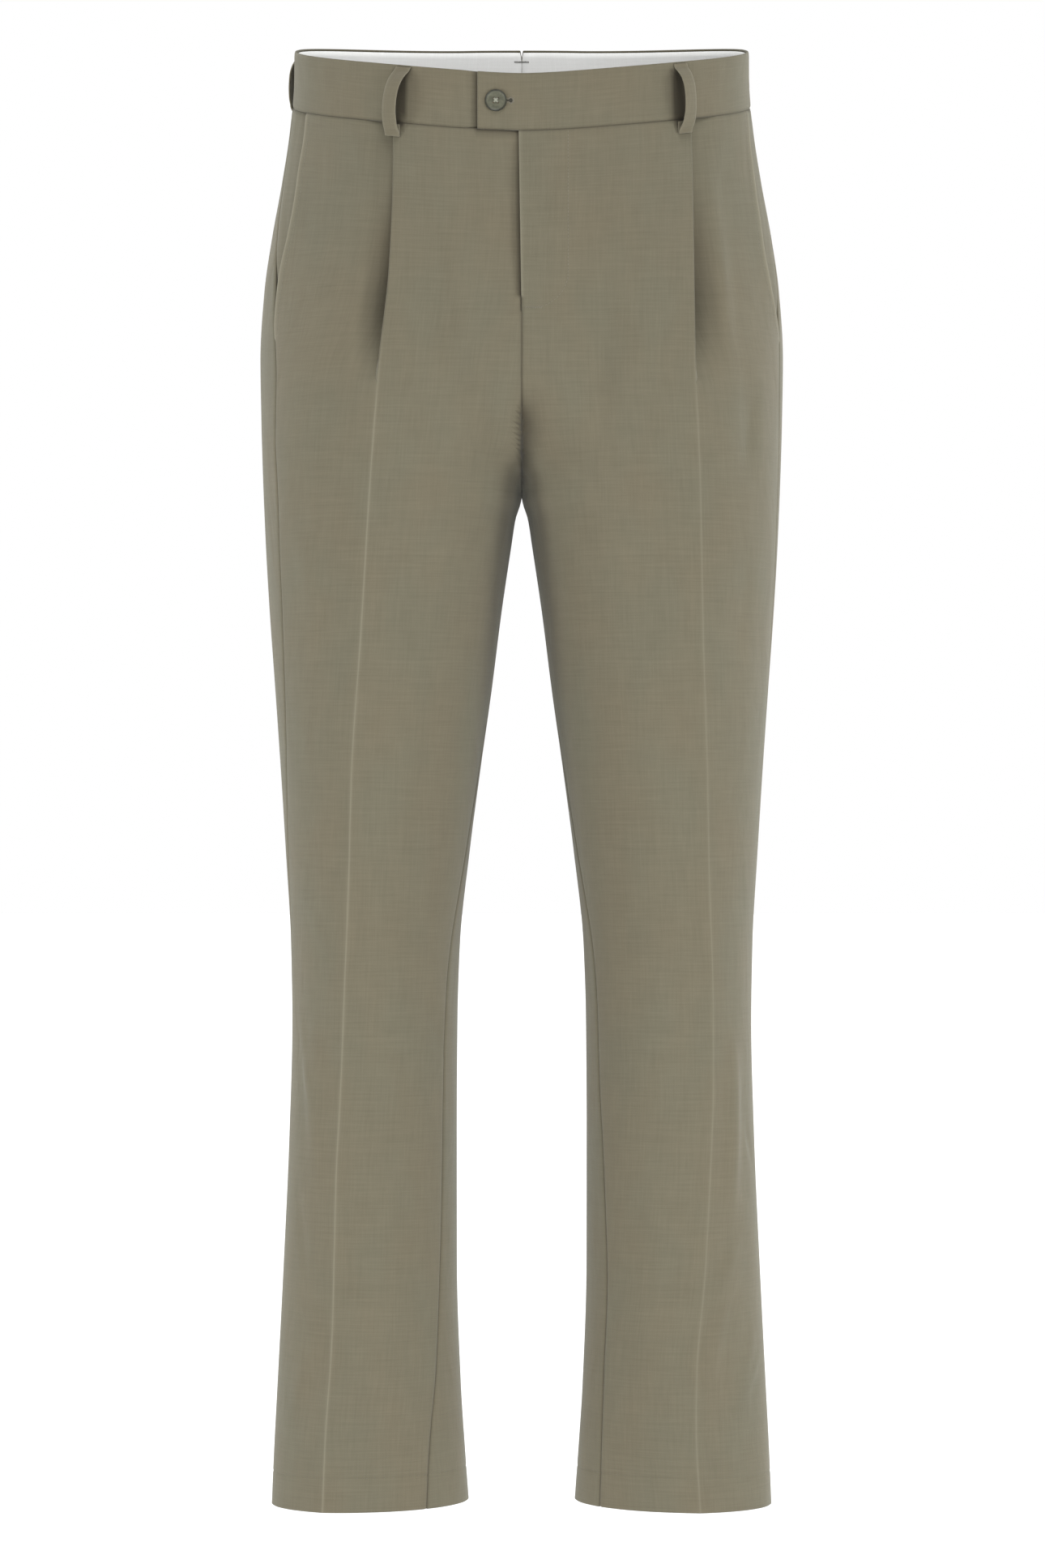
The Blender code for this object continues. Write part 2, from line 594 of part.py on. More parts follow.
def column_widths(level, here, at_crotch, shares):
    """Distances of a panel's columns from its fixed side towards the centre plane. Just above the
    crotch the rise cuts the rows short, and the columns it cuts off come together at its edge."""
    if level < CROTCH_LEVEL:
        return [here * share for share in shares]
    settled = float(smooth_step((level - CROTCH_LEVEL) / SETTLING))
    full = at_crotch + (here - at_crotch) * settled
    return [min(full * share, here) for share in shares]


def front_panel(side):
    """A front: from the fly and inside leg, over the pleat and crease, to pocket and side seam."""
    grid, inner_half, headings = [], [], []
    for level in PANEL_LEVELS:
        row = ring(side, level)
        edge, edge_out = (row.inseam, 0.0) if row.closed else front_edge(side, level)
        edge += crotch_gap(row)
        end = row.mouth - GAP / 2
        crotch_row = ring(side, CROTCH_LEVEL)
        widths = column_widths(level, row.crease - edge, crotch_row.crease, INNER_SHARES)
        inner = [row.crease - width for width in widths]
        inner_out = [edge_out * float(1 - smooth_step((s + FLY_UNDERLAP) / 24.0)) for s in inner]
        if side == RIGHT and edge_out:
            inner[1], inner_out[1] = 1.0, edge_out
        fold = pleat_path(level)
        foot, drop = fold[-1]
        outer = [row.crease + max(foot, 0.0) + (end - row.crease - max(foot, 0.0)) * share
                 for share in OUTER_SHARES]
        gape = mouth_gape(level)
        outer_out = [drop * float(1 - smooth_step((s - row.crease - 2) / PLEAT_BLEND))
                     + gape * math.exp(-(end - s) / 14.0) for s in outer]
        places = inner + [row.crease + along for along, _ in fold] + outer
        outs = inner_out + [out for _, out in fold] + outer_out
        grid.append(row.at(places, outs))
        headings.append((row.heading(places[0]), row.heading(places[-1])))
        doubled = CLOTH if level <= HEM_DEPTH else 0.0
        inner_half.append(np.full((len(places), 1), CLOTH / 2 + doubled))
    name = "front_left" if side == LEFT else "front_right"
    clear = [[GAP / 2 if level <= FLY_JOINED else -FLY_WIDTH] for level in PANEL_LEVELS]
    return wall(name, side, grid, CLOTH / 2, np.array(inner_half), headings, clear=clear)


def back_panel(side):
    """A back: from the side seam round the seat and leg to the centre back and inside leg."""
    grid, inner_half, headings = [], [], []
    for level in PANEL_LEVELS:
        row = ring(side, level)
        start = row.side_seam + GAP / 2
        end = row.length + row.inseam - crotch_gap(row)
        crotch_row = ring(side, CROTCH_LEVEL)
        at_crotch = crotch_row.length - crotch_row.side_seam
        widths = column_widths(level, end - start, at_crotch, BACK_SHARES)
        places = [start + width for width in widths]
        grid.append(row.at(places))
        headings.append((row.heading(places[0]), row.heading(places[-1])))
        doubled = CLOTH if level <= HEM_DEPTH else 0.0
        inner_half.append(np.full((len(places), 1), CLOTH / 2 + doubled))
    name = "back_left" if side == LEFT else "back_right"
    return wall(name, side, grid, CLOTH / 2, np.array(inner_half), headings, clear=GAP / 2)


def pocket_facing(side):
    """The piece that shows behind the slant mouth and fills the corner up to the side seam."""
    grid, headings = [], []
    for level in [level for level in PANEL_LEVELS if level >= POCKET_BOTTOM - 15]:
        row = ring(side, level)
        mouth, seam = row.mouth, row.side_seam - GAP / 2
        open_width = max(seam - mouth, POCKET_CLOSED)
        places = [mouth - POCKET_UNDER, mouth - POCKET_UNDER / 2, mouth]
        places += [mouth + open_width * share for share in FACING_SHARES]
        climb = POCKET_STEP * float(smooth_step(open_width / POCKET_WIDE * 2 - 0.3))
        outs = [-POCKET_STEP] * 3
        outs += [-POCKET_STEP + climb * float(smooth_step(share)) for share in FACING_SHARES]
        grid.append(row.at(places, outs))
        headings.append((row.heading(places[0]), row.heading(seam)))
    name = "pocket_facing_left" if side == LEFT else "pocket_facing_right"
    return wall(name, side, grid, CLOTH / 2, CLOTH / 2, headings)


def strip(name, side, levels, places, outs, out_half, in_half, finish="chino_cloth"):
    """A piece that lies along the garment: places and outs are per row, one value a column."""
    grid = [ring(side, level).at(places(ring(side, level)), outs(ring(side, level)))
            for level in levels]
    return wall(name, side, grid, out_half, in_half, finish=finish)


def fly_pieces():
    """Behind the left front: its facing, the zip, and the right front's shield behind both."""
    def constant(value):
        return lambda row: value

    def facing_places(row):
        low = max(FLY_BOTTOM + FLY_ROUND - row.level, 0.0) / FLY_ROUND
        width = (FLY_WIDTH - FLY_FACING_START) * math.sqrt(max(1 - low * low, 0.04))
        return [FLY_FACING_START + width * share for share in (0.0, 0.5, 1.0)]

    half = CLOTH / 2
    facing_levels = (1029.4, 990, 950, 925, 914, 907, 901, FLY_BOTTOM + 1)
    strip("fly_facing", LEFT, facing_levels, facing_places, constant(FACING_OUT), half, half)
    zip_places = (0.5, CHAIN_START, CHAIN_START + 0.2, CHAIN_END - 0.2, CHAIN_END, 25.0)
    chain_half = np.array([half, half, CHAIN_RISE, CHAIN_RISE, half, half])[:, None]
    strip("zip", LEFT, (ZIP_TOP - 12, 990, 950, 920, FLY_BOTTOM + 6), constant(zip_places),
          constant(ZIP_OUT), chain_half, half, "zip")
    slider_places = (CHAIN_START - 0.4, (CHAIN_START + CHAIN_END) / 2, CHAIN_END + 0.4)
    slider_half = np.array([0.45, 0.62, 0.45])[:, None]
    strip("zip_slider", LEFT, (ZIP_TOP - 1, ZIP_TOP - 6, ZIP_TOP - 11.6), constant(slider_places),
          constant(SLIDER_OUT), slider_half, slider_half, "zip")
    strip("fly_shield", LEFT, (1029.4, 990, 950, 915, FLY_BOTTOM), constant((-6.0, 8.0, 22.0, 37.0)),
          constant(SHIELD_OUT), half, half)


def band_end(row):
    """Each half of the waistband stops at the centre back, cut away by the notch at its top."""
    into_notch = max(row.level - (TOP_LEVEL - NOTCH_DEPTH), 0.0) / NOTCH_DEPTH
    return row.length - NOTCH_WIDTH / 2 * into_notch


def band_places(row, start):
    """Columns shared by a waistband half and its lining."""
    end = band_end(row)
    return start + [BAND_SHARED + (end - BAND_SHARED) * share / BAND_SPANS
                    for share in range(BAND_SPANS + 1)]


def waistband(side):
    """Half a waistband: the left one ends in the tab, the right one carries on under it."""
    name = "left" if side == LEFT else "right"
    start = BAND_LEFT_START if side == LEFT else BAND_RIGHT_START

    def outs(row):
        places = np.array(band_places(row, start))
        if side == LEFT:
            return np.zeros_like(places)
        return -TAB_STEP * (1 - smooth_step((places - TAB_LENGTH - 1.5) / 11.0))

    levels = (TOP_LEVEL, TOP_LEVEL - NOTCH_DEPTH, 1050.5, SEAM_LEVEL + GAP / 2)
    strip("waistband_" + name, side, levels, lambda row: band_places(row, start), outs,
          BAND_FACE, BAND_WALL - BAND_FACE)
    lining_start = [16.0, 32.0] if side == LEFT else []
    levels = (TOP_LEVEL - 2, TOP_LEVEL - NOTCH_DEPTH, 1050.5, SEAM_LEVEL + GAP / 2)
    strip("waistband_lining_" + name, side, levels, lambda row: band_places(row, lining_start),
          lambda row: LINING_OUT, CLOTH / 2, CLOTH / 2, "waist_lining")


def belt_loop(name, side, line, top_offset, foot_offset, stand, tilt):
    """A strip sewn down under the waistband's top edge and again below the waist seam."""
    on_band = BAND_FACE + GAP + LOOP_WALL / 2
    on_panel = CLOTH / 2 + GAP + LOOP_WALL / 2
    top = TOP_LEVEL - LOOP_UNDER_TOP - (NOTCH_DEPTH if line == "length" else 0.0)
    foot = SEAM_LEVEL - LOOP_BELOW_SEAM
    grid = []
    for share, rise in LOOP_PATH:
        level = top + (foot - top) * share
        rest = on_band if level > SEAM_LEVEL - 2 else on_panel
        row = ring(side, level)
        middle = getattr(row, line) + top_offset + (foot_offset - top_offset) * share
        across = [middle - LOOP_WIDTH / 2, middle, middle + LOOP_WIDTH / 2]
        grid.append(row.at(across, [rest + (stand + tilt * lean) * rise for lean in (1, 0.5, 0)]))
    return wall(name, side, grid, LOOP_WALL / 2, LOOP_WALL / 2)


def button():
    """Turned with a raised rim and a dished middle, and drilled with four holes."""
    row, ahead = ring(RIGHT, BUTTON_LEVEL), ring(RIGHT, BUTTON_LEVEL + 1)
    seat = Vector(to_world(RIGHT, row.at(BUTTON_PLACE, BAND_FACE + GAP))[0])
    across = Vector(to_world(RIGHT, row.at(BUTTON_PLACE + 1))[0]
                    - to_world(RIGHT, row.at(BUTTON_PLACE - 1))[0]).normalized()
    up = Vector(to_world(RIGHT, ahead.at(BUTTON_PLACE))[0]
                - to_world(RIGHT, row.at(BUTTON_PLACE))[0]).normalized()
    face = up.cross(across).normalized()
    if face.y > 0:
        face.negate()
    turn = face.to_track_quat("Z", "Y")
    r, h = BUTTON_RADIUS, BUTTON_HEIGHT
    profile = ((r - 1.0, 0.0), (r, 0.8), (r, 1.8), (r - 0.6, h), (r - 1.7, h), (r - 2.6, h - 0.9))
    mesh = bmesh.new()
    loops = []
    for radius, height in profile:
        angles = [2 * math.pi * k / BUTTON_SIDES for k in range(BUTTON_SIDES)]
        loops.append([mesh.verts.new((radius * MM * math.cos(a), radius * MM * math.sin(a),
                                      height * MM)) for a in angles])
    for low, high in zip(loops, loops[1:]):
        for k in range(BUTTON_SIDES):
            mesh.faces.new((low[k], low[(k + 1) % BUTTON_SIDES], high[(k + 1) % BUTTON_SIDES],
                            high[k]))
    mesh.faces.new(list(reversed(loops[0])))
    mesh.faces.new(loops[-1])
    made = finished("button", mesh, "button")
    drill = bmesh.new()
    for x in (-1, 1):
        for y in (-1, 1):
            place = Matrix.Translation((x * BUTTON_HOLE_SPACE * MM / 2,
                                        y * BUTTON_HOLE_SPACE * MM / 2, h * MM / 2))
            bmesh.ops.create_cone(drill, cap_ends=True, segments=10, radius1=BUTTON_HOLE * MM,
                                  radius2=BUTTON_HOLE * MM, depth=3 * h * MM, matrix=place)
    cutter = finished("button_drill", drill, "button")
    cutter.hide_render = True
    cutter.display_type = "WIRE"
    for thing in (made, cutter):
        thing.location = seat
        thing.rotation_mode = "QUATERNION"
        thing.rotation_quaternion = turn
    holes = made.modifiers.new("holes", "BOOLEAN")
    holes.operation = "DIFFERENCE"
    holes.object = cutter
    return made


fresh_scene()
for one_side in (RIGHT, LEFT):
    front_panel(one_side)
    back_panel(one_side)
    pocket_facing(one_side)
    waistband(one_side)
fly_pieces()
for loop_row in named_rows(LOOP_COLUMNS, LOOPS):
    belt_loop(**loop_row)
button()
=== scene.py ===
"""Looks of the pleated chinos: cloth shells, sewing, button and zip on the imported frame.

Sizes are millimetres in half coordinates, as in the frame's own source: x is measured outwards from
the centre plane, -y is the front, and heights are above a level just under the hems. Each row of a
panel is a level round one half of the garment, and places on it are arc lengths from its front edge.
"""
import math

import bpy
import numpy as np
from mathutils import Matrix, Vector


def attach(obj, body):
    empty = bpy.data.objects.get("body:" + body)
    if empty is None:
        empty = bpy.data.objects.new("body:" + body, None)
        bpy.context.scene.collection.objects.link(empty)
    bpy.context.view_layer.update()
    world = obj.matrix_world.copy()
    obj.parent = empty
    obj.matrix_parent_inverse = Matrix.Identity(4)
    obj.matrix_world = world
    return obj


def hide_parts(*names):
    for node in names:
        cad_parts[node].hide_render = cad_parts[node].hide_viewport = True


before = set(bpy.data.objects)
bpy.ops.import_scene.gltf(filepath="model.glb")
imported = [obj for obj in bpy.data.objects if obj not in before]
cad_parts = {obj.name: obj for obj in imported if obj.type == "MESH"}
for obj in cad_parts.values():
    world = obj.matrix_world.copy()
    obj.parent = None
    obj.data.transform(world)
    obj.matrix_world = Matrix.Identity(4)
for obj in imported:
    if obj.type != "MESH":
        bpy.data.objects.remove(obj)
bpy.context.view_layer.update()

MM = 0.001
LEFT, RIGHT = 1, -1                  # the wearer's left is +X

# ---- Sizes of the cut ---------------------------------------------------------------------------
WAIST_HEIGHT = 1071.0                # the origin
CLOTH = 0.9                          # wall of a single layer
HEM_FOLD = 1.0                       # added inside by the turned hem
BAND_FACE, BAND_BACK = 0.9, 1.0      # waistband's walls out and in from the panels' middle
LINING_OUT, LINING_HALF = -1.9, 0.45
GAP = 0.3                            # between pieces that lie on each other
SEAM_GAP = 0.04                      # between pieces that are sewn edge to edge
SEAM_LEVEL, TOP_LEVEL = 1029.7, 1071.2   # waist seam and waistband's top at the centre front
CROTCH_LEVEL, CROTCH_Y = 766.0, 15.0
THIGH_LEVEL = 560.0                  # the inside leg moves back from here up to the crotch
BELLY_LEVEL, BELLY_CLIMB = 826.0, 60.0   # above this the section crosses the centre plane flat
SIDE_RISE, BACK_RISE = 30.0, 14.4    # how much the waist climbs to the side, then on to the back
LEVEL_UNDER_WAIST = 900.0            # below this the rows lie level, down to the hems
HEM_DEPTH = 24.0
HEM_RISE, HEM_CORNER, HEM_BLEND = 9.5, 3.0, 110.0
POCKET_TOP, POCKET_BOTTOM = 1029.7, 880.0
POCKET_WIDE = 42.0                   # mouth's width where its facing climbs out to the seam
POCKET_UNDER = 16.0                  # facing carried on under the front
POCKET_CLOSED = 2.0                  # facing carried on under the back, below the mouth
POCKET_STEP = 2.2                    # facing under the front's face
POCKET_GAPE, GAPE_REACH = 3.4, 14.0  # the mouth stands open, and how far in the front lifts
FLY_BOTTOM, FLY_WIDTH = 895.0, 38.0
FLY_JOINED, FLY_OPEN = 905.0, 118.0  # the fronts lap above this, and part over this height
FLY_OVERLAP, FLY_UNDERLAP = 2.0, 5.0 # left front past the centre line, and right front under it
FLY_STEP = 1.6                       # right front under the left one's face
FLY_FACING_START, FLY_ROUND = 12.5, 26.0
FACING_OUT, SLIDER_OUT, ZIP_OUT, SHIELD_OUT = -1.3, -1.48, -2.9, -4.2
CHAIN_START, CHAIN_END, CHAIN_PITCH = 6.0, 11.0, 1.5
ZIP_TOP, ZIP_DROP, ZIP_FOOT = 1024.0, 12.0, 6.0   # the tape stops short of its top and the fly's foot
TAB_LENGTH, TAB_STEP = 32.0, 2.4     # left half past the centre, and right half under the tab
NOTCH_WIDTH, NOTCH_DEPTH = 2.8, 7.5  # centre back of the waistband
LOOP_WIDTH, LOOP_WALL = 10.5, 1.1
LOOP_UNDER_TOP, LOOP_BELOW_SEAM = 1.2, 10.0
LOOP_ROWS = 44                       # rows of a belt loop before its end turns under
BUTTON_RADIUS, BUTTON_HEIGHT, BUTTON_PLACE, BUTTON_LEVEL = 8.7, 3.0, 19.0, 1050.8
BUTTON_HOLE, BUTTON_HOLE_SPACE = 0.95, 3.2
PLEAT_TURN_RADIUS, PLEAT_END, PLEAT_BLEND = 0.9, 845.0, 26.0
PLEAT_SEWN, PLEAT_DEEP, PLEAT_GAPE = 1000.0, 5.4, 5.12   # the pleats open below the first
CREASE_REACH, FOLD_DEEPER = 28.0, 1.25
CREASE_HIGHLIGHT, CREASE_LINE = {RIGHT: 0.55, LEFT: 0.35}, 0.6   # strength of the painted highlight along a pressed crease, stronger on the right half, and its width
FRONT_CREASE_TOP, FRONT_CREASE_FADE = 900.0, 80.0
BACK_CREASE_TOP, BACK_CREASE_FADE = 800.0, 120.0
SETTLING = 64.0                      # height over which columns cut off by the rise spread out
CLEFT_LEVELS, CLEFT_FADES = (752, 812), (22, 32)   # where the painted shade of the crotch's cleft starts and ends
CLEFT_SHADES = {RIGHT: (0.5, 3.0), LEFT: (1.0, 11.0)}   # strength and reach of that painted shade
SEAM_REACH, EDGE_DARK = 1.1, 0.8     # roll beside a seam, and painted shade along the waist seam
TACK_HEIGHT = 1.6
J_PLACE, J_TURN, J_DEPTH, J_FOOT = 34.0, 924.0, 26.0, 6.0   # the fly's stitched line
TACK_LEVEL, FLY_TACK_LEVEL, FLY_TACK_PLACE = 1021.0, 898.5, 8.5
PICK_PITCH = 6.5                     # between the hem's blind stitches
BAND_UNDER = -12.0                   # where the right waistband starts under the tab
LINING_START = {LEFT: 16.0, RIGHT: 47.0}
FRONT_SHARE = 0.42                   # of the girth to the side, where the section is foremost
RING_SAMPLES, BISECTIONS = 601, 24
ROW_STEP, ROW_CLEARANCE = 3.8, 0.6
SIDE_NAMES = {LEFT: "left", RIGHT: "right"}

BODY_COLUMNS = ("height", "outer_x", "outer_y", "front_x", "front_y", "back_x", "back_y",
                "inner_x", "roundness", "tuck")
BODY_ROWS = (
    (0, 187.5, -2, 114, -62, 113, 63, 39.5, 0.56, 0.56),
    (50, 185.4, -2, 114, -64, 113, 66, 43.2, 0.56, 0.56),
    (100, 182.8, -2, 113, -67, 112, 70, 46.4, 0.56, 0.56),
    (190, 178.2, -2, 112, -72, 111, 76, 49.3, 0.57, 0.57),
    (290, 173.8, -2, 111, -76, 110, 81, 49.4, 0.58, 0.58),
    (370, 171.8, -2, 110, -79, 110, 82, 48.9, 0.58, 0.58),
    (430, 172.8, -2, 110, -82, 109, 83, 47.0, 0.58, 0.58),
    (500, 176.8, -2, 108, -86, 108, 86, 39.6, 0.59, 0.59),
    (560, 180.6, -1, 106, -91, 106, 90, 31.7, 0.59, 0.60),
    (620, 184.8, 0, 104, -97, 104, 95, 23.2, 0.60, 0.63),
    (680, 189.2, 2, 102, -104, 102, 103, 15.6, 0.61, 0.68),
    (730, 192.2, 4, 101, -110, 101, 111, 8.2, 0.62, 0.74),
    (750, 193.1, 4.5, 100.4, -113, 100.4, 115.4, 5.1, 0.62, 0.77),
    (766, 193.8, 5, 100, -115, 100, 119, 0.65, 0.62, 0.80),
    (800, 195.0, 6, 98, -119, 96, 127, 0.15, 0.62, 0.80),
    (826, 195.7, 6, 95, -121, 93, 132, 0.15, 0.60, 0.78),
    (870, 196.4, 6, 86, -123, 86, 137, 0.15, 0.58, 0.70),
    (920, 193.4, 5, 74, -122, 78, 136, 0.15, 0.57, 0.60),
    (960, 187.7, 4, 64, -119, 72, 131, 0.15, 0.56, 0.58),
    (1000, 180.4, 3, 54, -114, 64, 123, 0.15, 0.56, 0.58),
    (1040, 174.2, 2, 45, -109, 55, 114, 0.15, 0.56, 0.58),
    (1080, 170.6, 1, 40, -107, 48, 110, 0.15, 0.56, 0.58),
    (1120, 170.2, 0, 38, -106, 46, 109, 0.15, 0.56, 0.58),
)
RISE_COLUMNS = ("height", "front_edge_y", "back_edge_y")
RISE_ROWS = (
    (766, 15, 15),
    (770, -22, 48),
    (778, -51, 74),
    (790, -78, 95),
    (804, -98, 110),
    (815, -107, 117),
    (828, -113.5, 123),
    (850, -118, 128.5),
    (880, -120.5, 130.5),
    (920, -120.5, 129),
    (960, -118, 124.5),
    (1000, -113.5, 118.5),
    (1040, -108.5, 112),
    (1080, -106.5, 108.5),
    (1120, -105.5, 107.5),
)
LINE_COLUMNS = ("height", "crease_right", "crease_left", "crease_back", "crease_height",
                "seam_right", "seam_left")
LINE_ROWS = (
    (0, 146.0, 131.5, 117, 5.0, 62, 46),
    (60, 143.5, 128.5, 117, 5.0, 56, 45),
    (110, 140.5, 128.5, 116, 5.2, 50, 46),
    (190, 137.0, 134.0, 115, 5.4, 45, 50),
    (260, 135.0, 137.0, 114, 5.4, 44, 48),
    (330, 131.5, 139.0, 114, 5.2, 44, 43),
    (400, 129.0, 138.5, 113, 5.0, 42, 41),
    (470, 126.5, 136.5, 112, 4.8, 30, 30),
    (560, 124.0, 134.8, 111, 4.6, 15, 15),
    (660, 117.5, 132.0, 110, 4.0, 5, 5),
    (766, 111.0, 130.0, 108, 3.0, 0, 0),
    (820, 107.0, 128.0, 106, 2.2, 0, 0),
    (860, 103.4, 126.0, 104, 1.4, 0, 0),
    (930, 95.8, 125.3, 100, 0.8, 0, 0),
    (990, 93.6, 124.8, 100, 0.3, 0, 0),
    (1120, 93.3, 120.5, 100, 0.0, 0, 0),
)
SIDE_COLUMNS = ("height", "seam_right", "seam_left", "mouth_right", "mouth_left")
SIDE_ROWS = (
    (0, -10, -10, 0, 0),
    (300, -4, -8, 0, 0),
    (400, 8, -2, 0, 0),
    (500, 26, 6, 0, 0),
    (610, 47, 15, 0, 0),
    (710, 63, 28, 0, 0),
    (783, 70, 36, 0, 0),
    (849, 70, 38, 0, 0),
    (880, 65, 36, 0, 0),
    (892, 61, 33.5, 2.5, 8),
    (907, 57, 29, 7, 20),
    (921, 53, 25, 12, 30),
    (938, 44, 19.5, 22, 38),
    (950, 38, 15, 29, 41),
    (970, 28, 8, 37, 43),
    (1000, 17, 0, 40, 40),
    (1030, 14, -6, 36, 31),
)
PLEAT_COLUMNS = ("height", "intake", "turn")
PLEAT_ROWS = (
    (838, 0.4, 8),
    (850, 1.5, 45),
    (865, 2.6, 85),
    (885, 4.5, 125),
    (905, 7.0, 150),
    (930, 10.0, 168),
    (960, 13.5, 177),
    (995, 16.0, 180),
    (1120, 17.5, 180),
)

# The largest folds, as in the solids, by side and face. Offsets run outside (+) or inside (-) the
# crease.
FOLD_COLUMNS = ("side", "face", "top", "foot", "top_offset", "foot_offset", "spread", "lift")
FOLDS = {
    (RIGHT, "front"): (
        (1000, 850, -18, -52, 11, -2.6), (880, 770, -78, -70, 14, 2.4),
        (380, 250, 28, 18, 9, 1.6), (200, 60, -16, 24, 12, -1.4),
    ),
    (LEFT, "front"): (
        (1010, 850, 12, 32, 9, 2.6), (935, 790, -64, -72, 13, -2.4), (860, 770, 50, 44, 10, -1.8),
        (370, 220, 20, 22, 9, 1.8), (210, 90, 28, 8, 9, 1.6),
    ),
    (RIGHT, "back"): (
        (790, 640, 40, 4, 15, -2.8), (500, 380, 34, -20, 13, -2.6), (400, 260, -28, 26, 14, -2.0),
    ),
    (LEFT, "back"): (
        (780, 640, 36, 8, 15, -2.8), (490, 370, 30, -24, 13, -2.6), (390, 250, -30, 22, 14, -2.0),
    ),
}

# Smaller creases, listed by side and face. top_x and foot_x are distances from the centre plane.
CREASE_COLUMNS = ("side", "face", "top", "foot", "top_x", "foot_x", "spread", "lift")
SMALL_CREASES = {
    (RIGHT, "front"): (
        (925, 855, 60, 45, 6, -1.4), (866, 798, 26, 37, 8, 1.5), (835, 785, 12, 44, 6, -1.3),
        (812, 752, 10, 58, 7, -1.1), (862, 828, 4, 24, 5, -0.9), (770, 690, 22, 72, 9, 1.0),
        (745, 660, 165, 150, 9, 1.0), (415, 345, 78, 60, 9, -1.1), (387, 274, 164, 150, 6, 1.2),
        (345, 312, 159, 153, 5, 0.9), (470, 420, 160, 140, 7, 0.8), (250, 180, 165, 158, 6, -0.9),
        (130, 60, 158, 172, 8, 1.0), (95, 40, 118, 108, 10, -0.8),
    ),
    (LEFT, "front"): (
        (989, 951, 19, 18, 5, -1.3), (920, 800, 61, 58, 9, -1.5), (850, 787, 174, 167, 7, -1.2),
        (838, 790, 8, 40, 6, -1.2), (815, 760, 12, 60, 7, -1.2), (858, 826, 4, 22, 5, 0.9),
        (790, 735, 22, 66, 8, 0.9), (730, 640, 168, 158, 9, -1.0), (361, 236, 156, 154, 7, 1.5),
        (217, 156, 160, 137, 6, 1.6), (178, 113, 156, 145, 6, -1.3), (110, 48, 120, 134, 7, -1.2),
        (150, 70, 172, 160, 7, 1.2), (128, 92, 178, 166, 4, 0.9), (300, 262, 165, 172, 5, -0.9),
    ),
    (RIGHT, "back"): (
        (160, 100, 56, 50, 5, 1.3), (830, 760, 20, 70, 8, -1.6), (800, 720, 10, 52, 7, -1.4),
        (760, 690, 165, 120, 9, -1.2), (960, 900, 30, 60, 10, -1.0), (470, 440, 70, 150, 7, -1.3),
        (425, 400, 150, 75, 7, 1.0), (130, 60, 90, 130, 9, 1.2),
    ),
    (LEFT, "back"): (
        (832, 755, 18, 74, 8, -1.6), (805, 730, 10, 48, 7, -1.4), (770, 700, 160, 122, 9, -1.2),
        (950, 890, 34, 66, 10, -1.0), (462, 430, 66, 148, 7, -1.3), (418, 392, 150, 78, 7, 1.0),
        (140, 64, 92, 136, 9, 1.2),
    ),
}

# Belt loops, each at an offset from a line of its half.
LOOP_COLUMNS = ("name", "side", "line", "top_offset", "foot_offset", "stand", "tilt")
LOOPS = (
    ("belt_loop_front_right", RIGHT, "crease", -7.4, 1.0, 7.2, 4.6),
    ("belt_loop_front_left", LEFT, "crease", -7.4, -5.5, 7.6, 4.6),
    ("belt_loop_side_right", RIGHT, "widest", 34.0, 34.0, 8.6, 0.0),
    ("belt_loop_side_left", LEFT, "widest", 45.0, 45.0, 9.2, 0.0),
    ("belt_loop_back", LEFT, "length", 0.0, 0.0, 8.4, 0.0),
)
LOOP_PATH = ((0.0, 0.0), (0.05, 0.06), (0.12, 0.4), (0.22, 0.76), (0.36, 0.96), (0.52, 1.0),
             (0.68, 0.92), (0.8, 0.72), (0.89, 0.42), (0.95, 0.1), (1.0, 0.0))


# ---- The form -----------------------------------------------------------------------------------
def smooth_step(value):
    """0 below 0, 1 above 1, and a soft climb between."""
    t = np.clip(value, 0.0, 1.0)
    return t * t * (3.0 - 2.0 * t)


def curve_through(x, y):
    """A curve that passes each value and never overshoots."""
    x, y = np.array(x, float), np.array(y, float)
    step = np.diff(x)
    slope = np.diff(y) / step
    tangent = np.zeros(len(x))
    tangent[0], tangent[-1] = slope[0], slope[-1]
    for i in range(1, len(x) - 1):
        if slope[i - 1] * slope[i] > 0:
            before, after = 2 * step[i] + step[i - 1], step[i] + 2 * step[i - 1]
            tangent[i] = (before + after) / (before / slope[i - 1] + after / slope[i])

    def curve(at):
        at = np.clip(np.asarray(at, float), x[0], x[-1])
        i = np.clip(np.searchsorted(x, at) - 1, 0, len(step) - 1)
        t = (at - x[i]) / step[i]
        return ((1 + 2 * t) * (1 - t) ** 2 * y[i] + t * (1 - t) ** 2 * step[i] * tangent[i]
                + t * t * (3 - 2 * t) * y[i + 1] + t * t * (t - 1) * step[i] * tangent[i + 1])

    return curve


def table_curves(columns, rows):
    """Every column of a table, by name."""
    heights = [row[0] for row in rows]
    return {name: curve_through(heights, [row[i] for row in rows])
            for i, name in enumerate(columns) if i}


def named_rows(columns, rows):
    """A table's rows, each with its values by column name."""
    return [dict(zip(columns, row)) for row in rows]


def spread_out(table):
    """Full rows of a table that is kept by side and face."""
    return [(*place, *row) for place, rows in table.items() for row in rows]


BODY = table_curves(BODY_COLUMNS, BODY_ROWS)
RISE = table_curves(RISE_COLUMNS, RISE_ROWS)
LINES = table_curves(LINE_COLUMNS, LINE_ROWS)
SIDES = table_curves(SIDE_COLUMNS, SIDE_ROWS)
PLEAT = table_curves(PLEAT_COLUMNS, PLEAT_ROWS)
FOLD_LIST = named_rows(FOLD_COLUMNS, spread_out(FOLDS))
CREASE_LIST = named_rows(CREASE_COLUMNS, spread_out(SMALL_CREASES))
LOOP_LIST = named_rows(LOOP_COLUMNS, LOOPS)


